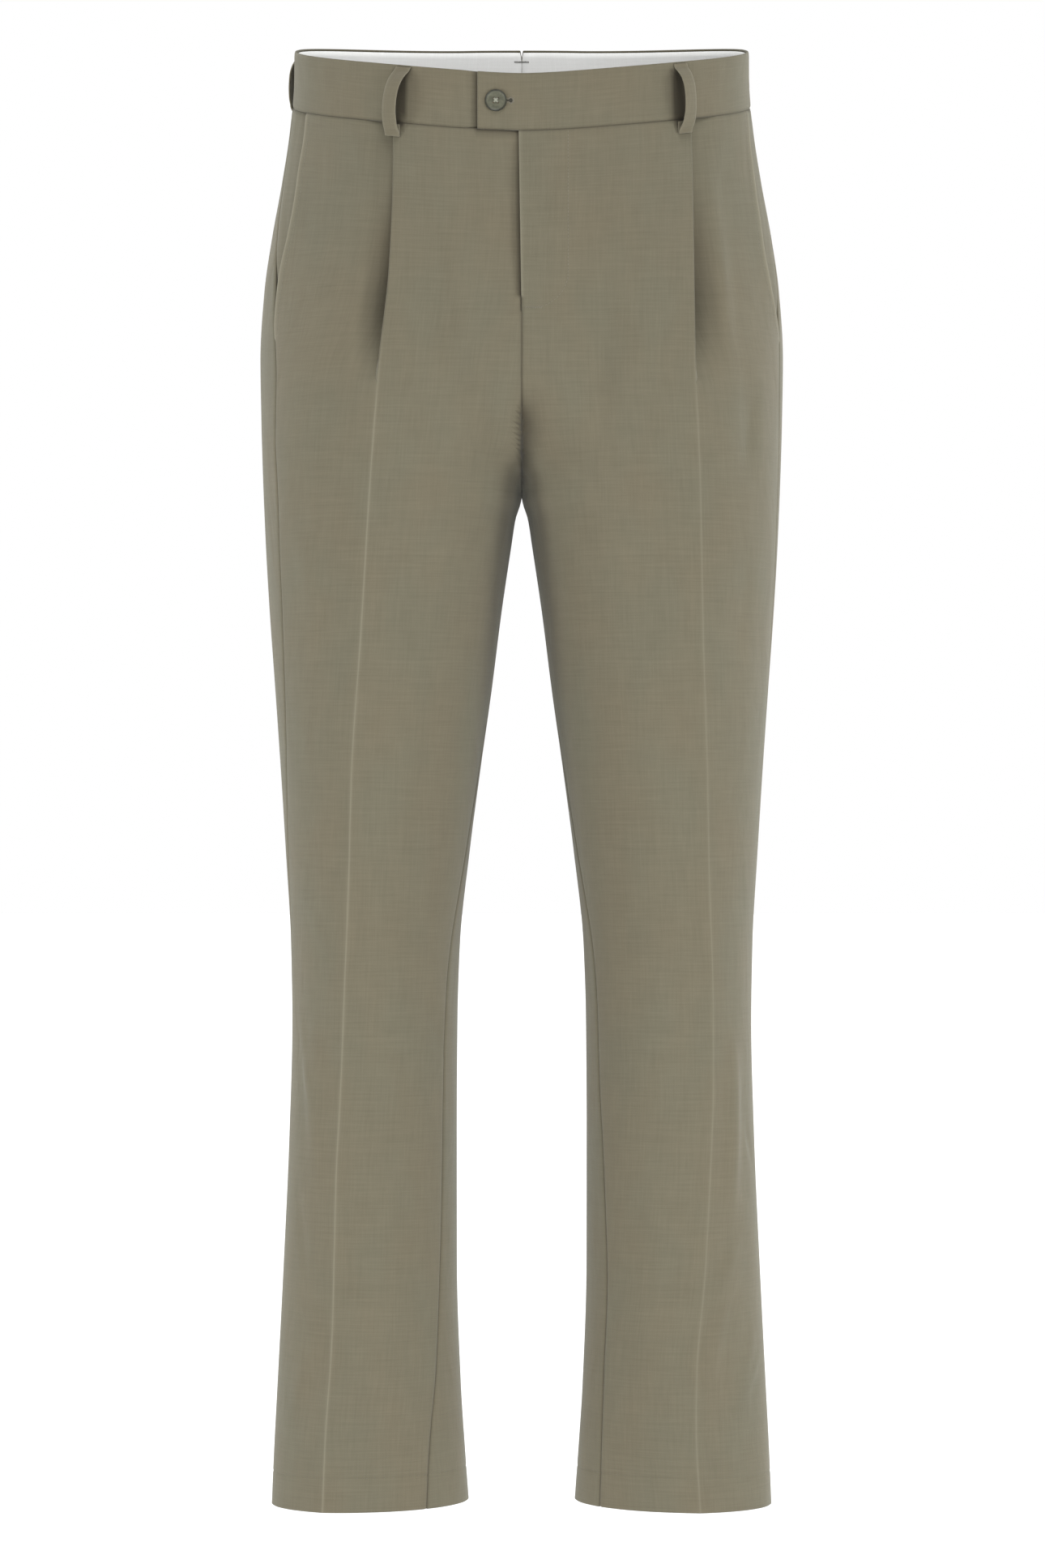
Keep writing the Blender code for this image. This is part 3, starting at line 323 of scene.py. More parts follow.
def bezier(p0, p1, p2, p3, t):
    """Point and direction of a cubic curve."""
    u = 1.0 - t
    point = u ** 3 * p0 + 3 * u * u * t * p1 + 3 * u * t * t * p2 + t ** 3 * p3
    along = u * u * (p1 - p0) + 2 * u * t * (p2 - p1) + t * t * (p3 - p2)
    return point, along


def half_section(girth, height):
    """The smooth skin in half coordinates: girth 0 is the front edge at the centre plane, 1 the
    widest point and 2 the back edge. Gives x, y and the outward normal in the level plane."""
    body = {name: curve(height) for name, curve in BODY.items()}
    rise = {name: curve(height) for name, curve in RISE.items()}
    legs = height < CROTCH_LEVEL
    inner_x, tuck, k = body["inner_x"], body["tuck"], body["roundness"]
    inner_y = CROTCH_Y * smooth_step((height - THIGH_LEVEL) / (CROTCH_LEVEL - THIGH_LEVEL))
    belly = smooth_step((height - BELLY_LEVEL) / BELLY_CLIMB)

    def edge_quarter(edge_y, peak_x, peak_y, t):
        """From the edge at the centre plane to the foremost or rearmost point. Above the crotch the
        curve of the thigh is cut at the rise, and its end is drawn to the centre plane."""
        span_x, span_y = peak_x - inner_x, peak_y - inner_y
        x_of = (inner_x, inner_x, peak_x - tuck * span_x, peak_x)
        y_of = (inner_y, inner_y + tuck * span_y, peak_y, peak_y)
        low, high = np.zeros_like(height), np.ones_like(height)
        for _ in range(BISECTIONS):
            middle = (low + high) / 2
            short = (bezier(*y_of, middle)[0] - edge_y) * np.sign(span_y) < 0
            low, high = np.where(short, middle, low), np.where(short, high, middle)
        cut = np.where(legs, 0.0, low)

        def rest(p):
            """Handles of the curve beyond the cut."""
            second, third = p[1] + (p[2] - p[1]) * cut, p[2] + (p[3] - p[2]) * cut
            return second + (third - second) * cut, third

        x1, x2 = rest(x_of)
        y1, y2 = rest(y_of)
        y1 = y1 + (edge_y - y1) * np.where(legs, 0.0, belly)
        lean = np.abs(y1 - edge_y) / np.hypot(y1 - edge_y, x1)
        edge_x = np.where(legs, inner_x, (SEAM_GAP + CLOTH * lean) / 2)
        edge_y = np.where(legs, inner_y, edge_y)
        x, dx = bezier(edge_x, np.maximum(x1, edge_x), x2, peak_x, t)
        y, dy = bezier(edge_y, y1, y2, peak_y, t)
        return x, y, dx, dy

    def side_quarter(peak_x, peak_y, t):
        """From the foremost or rearmost point to the widest one."""
        side_x, side_y = body["outer_x"], body["outer_y"]
        x, dx = bezier(peak_x, peak_x + k * (side_x - peak_x), side_x, side_x, t)
        y, dy = bezier(peak_y, peak_y, side_y + k * (peak_y - side_y), side_y, t)
        return x, y, dx, dy

    back_girth = 2.0 - girth
    part = (girth < FRONT_SHARE, girth < 1.0, back_girth >= FRONT_SHARE)
    quarters = (
        edge_quarter(rise["front_edge_y"], body["front_x"], body["front_y"],
                     np.clip(girth / FRONT_SHARE, 0, 1)),
        side_quarter(body["front_x"], body["front_y"],
                     np.clip((girth - FRONT_SHARE) / (1 - FRONT_SHARE), 0, 1)),
        side_quarter(body["back_x"], body["back_y"],
                     np.clip((back_girth - FRONT_SHARE) / (1 - FRONT_SHARE), 0, 1)),
        edge_quarter(rise["back_edge_y"], body["back_x"], body["back_y"],
                     np.clip(back_girth / FRONT_SHARE, 0, 1)),
    )
    x, y, dx, dy = (np.select(part, [q[i] for q in quarters[:3]], quarters[3][i])
                    for i in range(4))
    forward = np.where(girth < 1.0, 1.0, -1.0)
    length = np.hypot(dx, dy) + 1e-9
    return x, y, dy * forward / length, -dx * forward / length


def waist_climb():
    """How much higher the waist is than at the centre front, by girth."""
    girth = np.linspace(0, 2, RING_SAMPLES)
    x, y, _, _ = half_section(girth, np.full(RING_SAMPLES, SEAM_LEVEL + SIDE_RISE))
    walked = np.concatenate(([0.0], np.cumsum(np.hypot(np.diff(x), np.diff(y)))))
    to_side = np.interp(1.0, girth, walked)
    front = SIDE_RISE * np.clip(walked / to_side, 0, 1) ** 1.6
    left = np.clip((walked[-1] - walked) / (walked[-1] - to_side), 0, 1)
    return girth, np.where(girth < 1, front, SIDE_RISE + BACK_RISE * (1 - left ** 3.3))


CLIMB = waist_climb()


def actual_height(level, girth):
    """A row's height: along the waist seam at the top, level down the legs, and at the bottom along
    the hem, which climbs a little towards the inside of the leg."""
    share = smooth_step((level - LEVEL_UNDER_WAIST) / (SEAM_LEVEL - LEVEL_UNDER_WAIST))
    hem = HEM_RISE + HEM_CORNER * ((1 + np.cos(math.pi * girth)) / 2) ** 3
    low = 1 - smooth_step((level - HEM_DEPTH - 1) / HEM_BLEND)
    return level + share * np.interp(girth, *CLIMB) + low * hem


class Ring:
    """One row round one half of the garment. Places on it are arc lengths from its front edge."""

    def __init__(self, side, level):
        self.side, self.level = side, level
        self.closed = level < CROTCH_LEVEL
        girth = np.linspace(0, 2, RING_SAMPLES)
        self.z = actual_height(level, girth)
        self.x, self.y, self.nx, self.ny = half_section(girth, self.z)
        run = np.hypot(np.diff(self.x), np.diff(self.y))
        self.s = np.concatenate(([0.0], np.cumsum(run)))
        self.length = self.s[-1]
        self.widest = float(np.interp(1.0, girth, self.s))
        self.front, self.behind = girth <= 1.0, girth >= 1.0
        name = SIDE_NAMES[side]
        self.crease = self.place_of("front", LINES["crease_" + name](level))
        self.back_crease = self.place_of("back", LINES["crease_back"](level))
        self.inseam = float(LINES["seam_" + name](level)) if self.closed else 0.0
        self.side_seam = self.widest - float(SIDES["seam_" + name](level))
        self.mouth = self.side_seam - float(SIDES["mouth_" + name](level))

    def place_of(self, face, x):
        """Arc length of the point at a distance from the centre plane, on the front or back."""
        if face == "front":
            return float(np.interp(x, self.x[self.front], self.s[self.front]))
        return float(np.interp(-x, -self.x[self.behind], self.s[self.behind]))

    def relief(self, s):
        """Pressed creases, folds and small creases, proud of the smooth skin."""
        if self.closed:
            s = np.mod(s, self.length)
        height = float(LINES["crease_height"](self.level))
        lift = height * np.exp(-np.abs(s - self.crease) / CREASE_REACH)
        back_height = height * smooth_step((BACK_CREASE_TOP - self.level) / BACK_CREASE_FADE)
        lift = lift + back_height * np.exp(-np.abs(s - self.back_crease) / CREASE_REACH)
        for fold, along in self.crossed(FOLD_LIST):
            crease = self.crease if fold["face"] == "front" else self.back_crease
            outwards = 1.0 if fold["face"] == "front" else -1.0
            offset = fold["top_offset"] + (fold["foot_offset"] - fold["top_offset"]) * along
            fade = math.sin(math.pi * along) ** 0.7
            lift = lift + fold["lift"] * FOLD_DEEPER * fade * np.exp(
                -((s - crease - outwards * offset) / fold["spread"]) ** 2)
        for mark, along in self.crossed(CREASE_LIST):
            x = mark["top_x"] + (mark["foot_x"] - mark["top_x"]) * along
            fade = math.sin(math.pi * along) ** 0.8
            lift = lift + mark["lift"] * fade * np.exp(
                -((s - self.place_of(mark["face"], x)) / mark["spread"]) ** 2)
        return lift

    def crossed(self, marks):
        """The folds that cross this row, each with how far along it the row lies."""
        for mark in marks:
            along = (mark["top"] - self.level) / (mark["top"] - mark["foot"])
            if mark["side"] == self.side and 0.0 < along < 1.0:
                yield mark, along

    def at(self, s, out=0.0):
        """Points at arc lengths s, moved out along the normal. On a row that isn't closed, a place
        past either edge lies on the other half of the garment."""
        s = np.atleast_1d(np.asarray(s, float))
        out = np.broadcast_to(np.asarray(out, float), s.shape)
        if self.closed:
            read, half = np.mod(s, self.length), np.ones_like(s)
        else:
            half = np.where((s < 0) | (s > self.length), -1.0, 1.0)
            read = np.where(s > self.length, 2 * self.length - s, np.abs(s))
        x, y, z, nx, ny = (np.interp(read, self.s, v)
                           for v in (self.x, self.y, self.z, self.nx, self.ny))
        move = (out + self.relief(read)) / np.hypot(nx, ny)
        return np.stack((half * (x + nx * move), y + ny * move, z), axis=1)


RINGS = {}


def ring(side, level):
    """Rings are worked out once each."""
    key = (side, round(float(level), 4))
    if key not in RINGS:
        RINGS[key] = Ring(side, float(level))
    return RINGS[key]


def to_world(side, points):
    """Half coordinates in millimetres to metres about the waist's middle."""
    world = np.array(points, float)
    world[..., 0] *= side
    world[..., 2] -= WAIST_HEIGHT
    return world * MM


def levels_between(top, bottom, extra=()):
    """Even rows from top to bottom, with extra rows where a detail needs them."""
    count = max(int(round((top - bottom) / ROW_STEP)), 1)
    even = np.linspace(top, bottom, count + 1)
    apart = [v for v in even[1:-1] if all(abs(v - e) > ROW_CLEARANCE for e in extra)]
    return sorted({round(float(v), 3) for v in (top, bottom, *apart, *extra)}, reverse=True)


# ---- Cloth shells -------------------------------------------------------------------------------
def grid_normals(grid):
    """Outward normals of a grid of points, also where columns come together at an edge."""
    rows, cols = grid.shape[:2]
    at_first = np.linalg.norm(grid - grid[:, :1], axis=2) < 1e-4
    at_last = np.linalg.norm(grid - grid[:, -1:], axis=2) < 1e-4
    loose = ~(at_first | at_last)
    rise, usable = np.zeros((rows + 1, cols, 3)), np.zeros((rows + 1, cols, 1))
    rise[1:-1] = grid[:-1] - grid[1:]
    usable[1:-1, :, 0] = loose[:-1] & loose[1:]
    usable[1:-1, 0] = usable[1:-1, -1] = 1.0
    up = rise[:-1] * usable[:-1] + rise[1:] * usable[1:]
    index = np.arange(cols - 1)
    normals = np.empty_like(grid)
    for i in range(rows):
        steps = np.diff(grid[i], axis=0)
        sizes = np.linalg.norm(steps, axis=1)
        good = sizes > 1e-4
        unit = steps / np.maximum(sizes, 1e-9)[:, None]
        last = np.maximum.accumulate(np.where(good, index, -1))
        following = np.minimum.accumulate(np.where(good, index, cols)[::-1])[::-1]
        before = np.concatenate(([-1], last))
        after = np.concatenate((following, [cols]))
        before = np.where(before < 0, after, before)
        after = np.where(after >= cols, before, after)
        before, after = unit[np.clip(before, 0, cols - 2)], unit[np.clip(after, 0, cols - 2)]
        climb = up[i].copy()
        climb[at_first[i]], climb[at_last[i]] = up[i, 0], up[i, -1]
        empty = np.linalg.norm(climb, axis=1) < 1e-9
        climb[empty] = (rise[i] + rise[i + 1])[empty]
        normal = np.cross(before + after, climb)
        normals[i] = normal / (np.linalg.norm(normal, axis=1)[:, None] + 1e-12)
    return normals


def shell(name, side, grid, uv, out_half, in_half, finish, wear=None, shade=None):
    """A thin closed wall of cloth about a grid of points, with rounded edges. Its UV map is the flat
    cloth in metres. One point attribute holds painted highlights along edges and pressed lines, and
    the shade attribute holds painted shade in the depths of seams, pleats and laps."""
    grid, uv = np.asarray(grid, float), np.asarray(uv, float)
    rows, cols = grid.shape[:2]
    normals = grid_normals(grid)
    out_half = np.broadcast_to(np.asarray(out_half, float), (rows, cols))[..., None]
    in_half = np.broadcast_to(np.asarray(in_half, float), (rows, cols))[..., None]
    outer, inner = grid + normals * out_half, grid - normals * in_half
    around = ([(0, j) for j in range(cols)] + [(i, cols - 1) for i in range(1, rows)]
              + [(rows - 1, j) for j in range(cols - 2, -1, -1)]
              + [(i, 0) for i in range(rows - 2, 0, -1)])
    rim = []
    for i, j in around:
        inside = grid[min(max(i, 1), rows - 2), min(max(j, 1), cols - 2)]
        away = grid[i, j] - inside
        reach = 0.32 * float(out_half[i, j, 0] + in_half[i, j, 0])
        rim.append((outer[i, j] + inner[i, j]) / 2 + away / (np.linalg.norm(away) + 1e-9) * reach)
    points = np.concatenate((outer.reshape(-1, 3), inner.reshape(-1, 3), np.array(rim)))
    count = rows * cols
    corner = np.arange(count).reshape(rows, cols)
    a, b, c, d = corner[:-1, :-1], corner[1:, :-1], corner[1:, 1:], corner[:-1, 1:]
    front = np.stack((a, b, c, d), axis=-1).reshape(-1, 4)
    back = np.stack((a, d, c, b), axis=-1).reshape(-1, 4) + count
    edge = np.array([corner[i, j] for i, j in around])
    follow = np.roll(edge, -1)
    mid = 2 * count + np.arange(len(around))
    mid_follow = np.roll(mid, -1)
    rim_front = np.stack((edge, follow, mid_follow, mid), axis=-1)
    rim_back = np.stack((mid, mid_follow, follow + count, edge + count), axis=-1)
    faces = np.concatenate((front, back, rim_front, rim_back))
    if side == RIGHT:
        faces = faces[:, ::-1]
    flat_uv = uv.reshape(-1, 2)
    every_uv = np.concatenate((flat_uv, flat_uv, flat_uv[edge]))
    painted_pale = np.zeros(count) if wear is None else np.asarray(wear, float).reshape(-1)
    dark = np.zeros(count) if shade is None else np.asarray(shade, float).reshape(-1)
    marks = {"wear": np.concatenate((painted_pale, painted_pale, painted_pale[edge])),
             "shade": np.concatenate((dark, dark, dark[edge]))}
    made = mesh_object(name, to_world(side, points), faces, every_uv, marks)
    made.data.materials.append(finish)
    return made


def new_object(name, points, faces):
    """A mesh object in the scene."""
    data = bpy.data.meshes.new(name)
    data.from_pydata(points, [], faces)
    made = bpy.data.objects.new(name, data)
    bpy.context.scene.collection.objects.link(made)
    return made


def edit(action=None):
    """Goes into edit mode, and selects all of the mesh or none of it if asked to."""
    bpy.ops.object.mode_set(mode="EDIT")
    if action:
        bpy.ops.mesh.select_all(action=action)


def done():
    """Back to object mode."""
    bpy.ops.object.mode_set(mode="OBJECT")


def mesh_object(name, points, faces, uv, marks):
    """A mesh from arrays, with doubled points merged and faces pointing outwards."""
    made = new_object(name, points.tolist(), faces.tolist())
    data = made.data
    layer = data.uv_layers.new(name="flat_cloth")
    corner = np.empty(len(data.loops), dtype=np.int32)
    data.loops.foreach_get("vertex_index", corner)
    layer.data.foreach_set("uv", uv[corner].astype(np.float32).ravel())
    for mark, values in marks.items():
        layer = data.attributes.new(mark, "FLOAT", "POINT")
        layer.data.foreach_set("value", np.clip(values, 0, 1).astype(np.float32))
    bpy.ops.object.select_all(action="DESELECT")
    bpy.context.view_layer.objects.active = made
    made.select_set(True)
    edit("SELECT")
    bpy.ops.mesh.remove_doubles(threshold=2e-7)
    bpy.ops.mesh.dissolve_degenerate(threshold=1e-7)
    bpy.ops.mesh.select_all(action="SELECT")
    bpy.ops.mesh.normals_make_consistent(inside=False)
    done()
    bpy.ops.object.shade_smooth()
    made.select_set(False)
    return made


def cut_of(uv):
    """Width, length and area of the flat cut, in metres, from a grid's flat cloth."""
    uv = np.asarray(uv, float)
    a, b, c, d = uv[:-1, :-1], uv[1:, :-1], uv[1:, 1:], uv[:-1, 1:]
    across, along = c - a, d - b
    area = float(np.abs(across[..., 0] * along[..., 1] - across[..., 1] * along[..., 0]).sum() / 2)
    size = uv.reshape(-1, 2).max(0) - uv.reshape(-1, 2).min(0)
    return float(size[0]), float(size[1]), area


def flat_row(across, down):
    """A row of the flat cloth in metres: places across it, at one distance down."""
    return np.stack((across * MM, np.full(len(across), down * MM)), axis=1)


def put_on(piece, node, uv):
    """The piece rides on the frame, stands for its node if it has one, and works out its cut, which
    is not kept.
    """
    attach(piece, "root")
    if node:
        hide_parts(node)
    width, length, area = cut_of(uv)
    min(area, width * length)


def panel(kind, side, grid, uv, in_half, finish, wear, shade):
    """A piece of one half that hangs from its waistband."""
    name = kind + "_" + SIDE_NAMES[side]
    made = shell(name + "_cloth", side, grid, uv, CLOTH / 2, in_half, finish, wear, shade)
    put_on(made, name, uv)


# ---- Panels -------------------------------------------------------------------------------------
def mouth_gape(level):
    """The front's edge stands off its facing along the middle of the mouth."""
    share = (level - POCKET_BOTTOM) / (POCKET_TOP - POCKET_BOTTOM)
    return POCKET_GAPE * math.sin(math.pi * share) if 0 < share < 1 else 0.0


def front_edge(side, level):
    """Place and depth of a front's edge at the centre."""
    if level <= FLY_BOTTOM:
        return 0.0, 0.0
    if side == LEFT:
        return -FLY_OVERLAP * max(level - FLY_JOINED, 0.0) / (SEAM_LEVEL - FLY_JOINED), 0.0
    return -FLY_UNDERLAP * float(smooth_step((level - FLY_JOINED) / 14.0)), -FLY_STEP


def column_widths(level, here, at_crotch, shares):
    """Distances of a panel's columns from its fixed side towards the centre plane, with those that
    the rise cuts off brought together at its edge."""
    if level < CROTCH_LEVEL:
        return here * shares
    settled = float(smooth_step((level - CROTCH_LEVEL) / SETTLING))
    full = at_crotch + (here - at_crotch) * settled
    return np.minimum(full * shares, here)


def seam_dip(distance, deep=1.0):
    """Cloth rolls in towards a seam."""
    return -deep * np.exp(-(np.maximum(distance, 0.0) / SEAM_REACH) ** 1.5)


def seam_rise(level):
    """Cloth rolls in under the waistband and along the blind-stitched hem."""
    at_waist = -1.1 * math.exp(-((SEAM_LEVEL - level) / 1.3) ** 1.4)
    at_hem = -0.35 * math.exp(-((level - HEM_DEPTH - 0.6) / 0.9) ** 2)
    return at_waist + at_hem


def loop_middle(row, loop):
    """A belt loop's middle on a row, and how far down the loop that row is: it swings over near
    its top and then hangs straight."""
    top, foot = loop_ends(loop)
    share = (top - row.level) / (top - foot)
    swing = 1 - (1 - min(max(share, 0.0), 1.0)) ** 3
    offset = loop["top_offset"] + (loop["foot_offset"] - loop["top_offset"]) * swing
    return getattr(row, loop["line"]) + offset, share


def loop_ends(loop):
    """Levels of a belt loop's top and foot."""
    top = TOP_LEVEL - LOOP_UNDER_TOP - (NOTCH_DEPTH if loop["line"] == "length" else 0.0)
    return top, SEAM_LEVEL - LOOP_BELOW_SEAM


def loop_shadow(side, row, here):
    """Painted shade behind the belt loops, which stand open towards the front."""
    dark = np.zeros(len(here))
    for loop in LOOP_LIST:
        middle, share = loop_middle(row, loop)
        behind_both = loop["line"] == "length"
        if (loop["side"] == side or behind_both) and -0.01 < share < 1.01:
            away = here - middle
            wedge = 5.0 * math.sin(math.pi * min(max(share, 0.02), 0.98)) ** 0.8
            lit = smooth_step((away + LOOP_WIDTH / 2 + wedge) / 1.6)
            dark = np.maximum(dark, lit * smooth_step((LOOP_WIDTH / 2 + 0.6 - away) / 2.0))
    return 0.85 * dark


def line_shade(distance, reach):
    """A painted dark line of shade that fades over a distance."""
    return np.exp(-(np.abs(distance) / reach) ** 1.5)


def crotch_shade(side, level, from_edge):
    """Painted shade in the deep cleft where the four panels meet, stronger and wider on the left half
    than on the right.
    """
    opens, shuts = (smooth_step((level - at) / fade) for at, fade in zip(CLEFT_LEVELS, CLEFT_FADES))
    deep = float(opens * (1 - shuts))
    strength, reach = CLEFT_SHADES[side]
    return strength * deep * np.exp(-(np.maximum(from_edge, 0) / reach) ** 1.6)


PLEAT_STEPS = 6
EDGE_SHARES = (0.0, 0.003, 0.007, 0.013, 0.024)
NEAR_CREASE = (0.0025, 0.006, 0.014)
FRONT_INNER = np.concatenate((1 - np.array(EDGE_SHARES), np.linspace(0.955, 0.03, 34),
                              NEAR_CREASE[::-1]))
FRONT_OUTER = np.concatenate((NEAR_CREASE, np.linspace(0.03, 0.955, 34),
                              1 - np.array(EDGE_SHARES[::-1])))
BACK_COLUMNS = np.concatenate((EDGE_SHARES, np.linspace(0.04, 0.96, 66),
                               1 - np.array(EDGE_SHARES[::-1])))
PANEL_LEVELS = levels_between(SEAM_LEVEL - 0.15, 0.0, extra=(
    1029.0, 1028.2, 1027.0, 910.0, 905.0, 900.0, FLY_BOTTOM, *range(int(CROTCH_LEVEL), 800, 2),
    26.4, 25.4, 24.6, HEM_DEPTH, 23.0, 1.2, 0.4))


def pleat_open(level):
    """How far the pleat stands open: sewn down at the top, and pressed flat into the crease below."""
    share = min(max((PLEAT_SEWN - level) / (PLEAT_SEWN - PLEAT_END), 0.0), 1.0)
    return PLEAT_GAPE * share ** 1.6 * (1 - share) ** 0.9


def pleat_path(level):
    """The pleat as (along, out, cloth used) steps from its fold edge: the cloth turns under, runs
    back towards the centre front, and turns again to run on outwards beneath."""
    turn = math.radians(float(PLEAT["turn"](level)))
    intake = float(PLEAT["intake"](level))
    steps = 2 * PLEAT_STEPS + 2
    if level < PLEAT_END:
        return [(0.0, 0.0, 0.0)] * steps
    r = PLEAT_TURN_RADIUS
    path = [(r * math.sin(turn * k / PLEAT_STEPS), -r * (1 - math.cos(turn * k / PLEAT_STEPS)),
             r * turn * k / PLEAT_STEPS) for k in range(PLEAT_STEPS + 1)]
    start = (path[-1][0] + intake * math.cos(turn), path[-1][1] - intake * math.sin(turn))
    used = path[-1][2] + intake
    sunk = PLEAT_DEEP * pleat_open(level)
    for k in range(PLEAT_STEPS + 1):
        left = turn * (PLEAT_STEPS - k) / PLEAT_STEPS
        swung = (r * (math.sin(turn) - math.sin(left)), -r * (math.cos(left) - math.cos(turn)))
        deeper = sunk * (0.4 + 0.6 * k / PLEAT_STEPS)
        path.append((start[0] + swung[0], start[1] + swung[1] - deeper, used + r * (turn - left)))
    return path


def front_panel(side, finish):
    """A front: from the fly and inside leg, over the pleat and crease, to pocket and side seam."""
    grid, uv, wear, shade, inner_half = [], [], [], [], []
    at_crotch = ring(side, CROTCH_LEVEL).crease
    for level in PANEL_LEVELS:
        row = ring(side, level)
        edge, edge_out = (row.inseam, 0.0) if row.closed else front_edge(side, level)
        edge += SEAM_GAP / 2
        end = row.mouth - SEAM_GAP / 2
        inner = row.crease - column_widths(level, row.crease - edge, at_crotch, FRONT_INNER)
        from_edge = inner - edge
        inner_out = edge_out * (1 - smooth_step((inner + FLY_UNDERLAP) / 24.0))
        lapped = level > FLY_JOINED
        open_edge = math.sin(math.pi * min(max((level - FLY_JOINED) / FLY_OPEN, 0), 1)) ** 0.6
        if lapped and side == LEFT:
            inner_out = inner_out + 2.0 * open_edge * np.exp(-from_edge / 6.0)
        elif lapped:
            inner_out = inner_out - 1.2 * open_edge * np.exp(-((inner - 4.0) / 4.5) ** 2)
        else:
            inner_out = inner_out + seam_dip(from_edge)
        path = pleat_path(level)
        foot, drop, used = path[-1]
        foot = max(foot, 0.0)
        outer = row.crease + foot + (end - row.crease - foot) * FRONT_OUTER
        outer_out = (drop * (1 - smooth_step((outer - row.crease - 1) / PLEAT_BLEND))
                     + mouth_gape(level) * np.exp(-(end - outer) / GAPE_REACH))
        if level <= POCKET_BOTTOM:
            outer_out = outer_out + seam_dip(end - outer)
        along = np.array([step[0] for step in path])
        places = np.concatenate((inner, row.crease + along, outer))
        outs = np.concatenate((inner_out, [step[1] for step in path], outer_out))
        points = row.at(places, outs + seam_rise(level))
        if not row.closed and not lapped:
            points[:, 0] = straight_seam(row, places, points[:, 0], places - edge)
        grid.append(points)
        flat = np.concatenate((inner - row.crease, [step[2] for step in path],
                               used + outer - row.crease - foot))
        uv.append(flat_row(flat, level))
        # Painted highlight: a pale line along the pressed crease.
        crease_highlight = CREASE_HIGHLIGHT[side] * np.exp(-np.abs(places - row.crease) / CREASE_LINE)
        # Painted highlight along the pocket mouth's rolled edge.
        mouth_highlight = np.exp(-np.abs(end - places) / 1.6) * (level > POCKET_BOTTOM)
        painted_pale = crease_highlight * smooth_step((FRONT_CREASE_TOP - level) / FRONT_CREASE_FADE) + mouth_highlight
        # Painted shade behind the belt loops and along the waist seam.
        dark = loop_shadow(side, row, places) + EDGE_DARK * line_shade(SEAM_LEVEL - level, 1.0)
        if lapped:
            # Painted highlight along the front's edge at the fly.
            painted_pale = painted_pale + 0.5 * np.exp(-np.abs(places - edge) / 1.0)
            if side == RIGHT:
                # Painted shade beside the left front's edge and under the tab.
                tab_shadow = (places < TAB_LENGTH + 1) * line_shade(SEAM_LEVEL - level, 3.2)
                dark = dark + line_shade(np.maximum(places - 0.5, 0), 2.6) + 0.9 * tab_shadow
        else:
            # Painted shade along the centre seam and in the crotch's cleft.
            dark = (dark + 0.6 * line_shade(places - edge, 0.9)
                    + crotch_shade(side, level, places - edge))
        if level > PLEAT_END:
            # Painted shade in the open pleat beside its fold, and on the cloth turned under it.
            beside = np.maximum(outer - row.crease, 0.0)
            opened = pleat_open(level)
            depth = (0.5 + 0.4 * opened) * line_shade(beside, 1.0 + 7.0 * opened)
            under_fold_shade = np.linspace(0, 0.8, len(path)) ** 0.6 * smooth_step((level - PLEAT_END) / 25)
            depth = depth * smooth_step((level - PLEAT_END - 12) / 45)
            dark = dark + np.concatenate((np.zeros(len(inner)), under_fold_shade, depth))
        wear.append(painted_pale)
        shade.append(dark)
        inner_half.append(np.full(len(places), inner_wall(level)))
    panel("front", side, grid, uv, inner_half, finish, wear, shade)


def inner_wall(level):
    """A panel's wall in from its middle: doubled at the turned hem."""
    return CLOTH / 2 + (HEM_FOLD if level <= HEM_DEPTH else 0.0)


def straight_seam(row, places, x, from_edge):
    """Above the crotch, cloth that rolls in at the centre seam stays against the centre plane."""
    unrolled = row.at(places)[:, 0]
    near = np.exp(-(np.maximum(from_edge, 0) / 3.0) ** 2)
    return x + (unrolled - x) * near


def back_panel(side, finish):
    """A back: from the side seam round the seat and leg to the centre back and inside leg."""
    grid, uv, wear, shade, inner_half = [], [], [], [], []
    crotch_row = ring(side, CROTCH_LEVEL)
    at_crotch = crotch_row.length - crotch_row.side_seam
    for level in PANEL_LEVELS:
        row = ring(side, level)
        start = row.side_seam + SEAM_GAP / 2
        end = row.length + row.inseam - SEAM_GAP / 2
        places = start + column_widths(level, end - start, at_crotch, BACK_COLUMNS)
        outs = seam_dip(places - start) + seam_dip(end - places) + seam_rise(level)
        points = row.at(places, outs)
        if not row.closed:
            points[:, 0] = straight_seam(row, places, points[:, 0], end - places)
        grid.append(points)
        uv.append(flat_row(places - row.back_crease, level))
        # Painted highlight: a pale line along the pressed back crease.
        crease_highlight = CREASE_HIGHLIGHT[side] * np.exp(-np.abs(places - row.back_crease) / CREASE_LINE)
        wear.append(crease_highlight * smooth_step((BACK_CREASE_TOP - level) / BACK_CREASE_FADE))
        # Painted shade along the side seam and inside leg, in the crotch's cleft, behind the belt
        # loop and along the waist seam.
        shade.append(0.35 * line_shade(places - start, 0.9) + 0.6 * line_shade(end - places, 0.9)
                     + crotch_shade(side, level, end - places) + loop_shadow(side, row, places)
                     + EDGE_DARK * line_shade(SEAM_LEVEL - level, 1.0))
        inner_half.append(np.full(len(places), inner_wall(level)))
    panel("back", side, grid, uv, inner_half, finish, wear, shade)


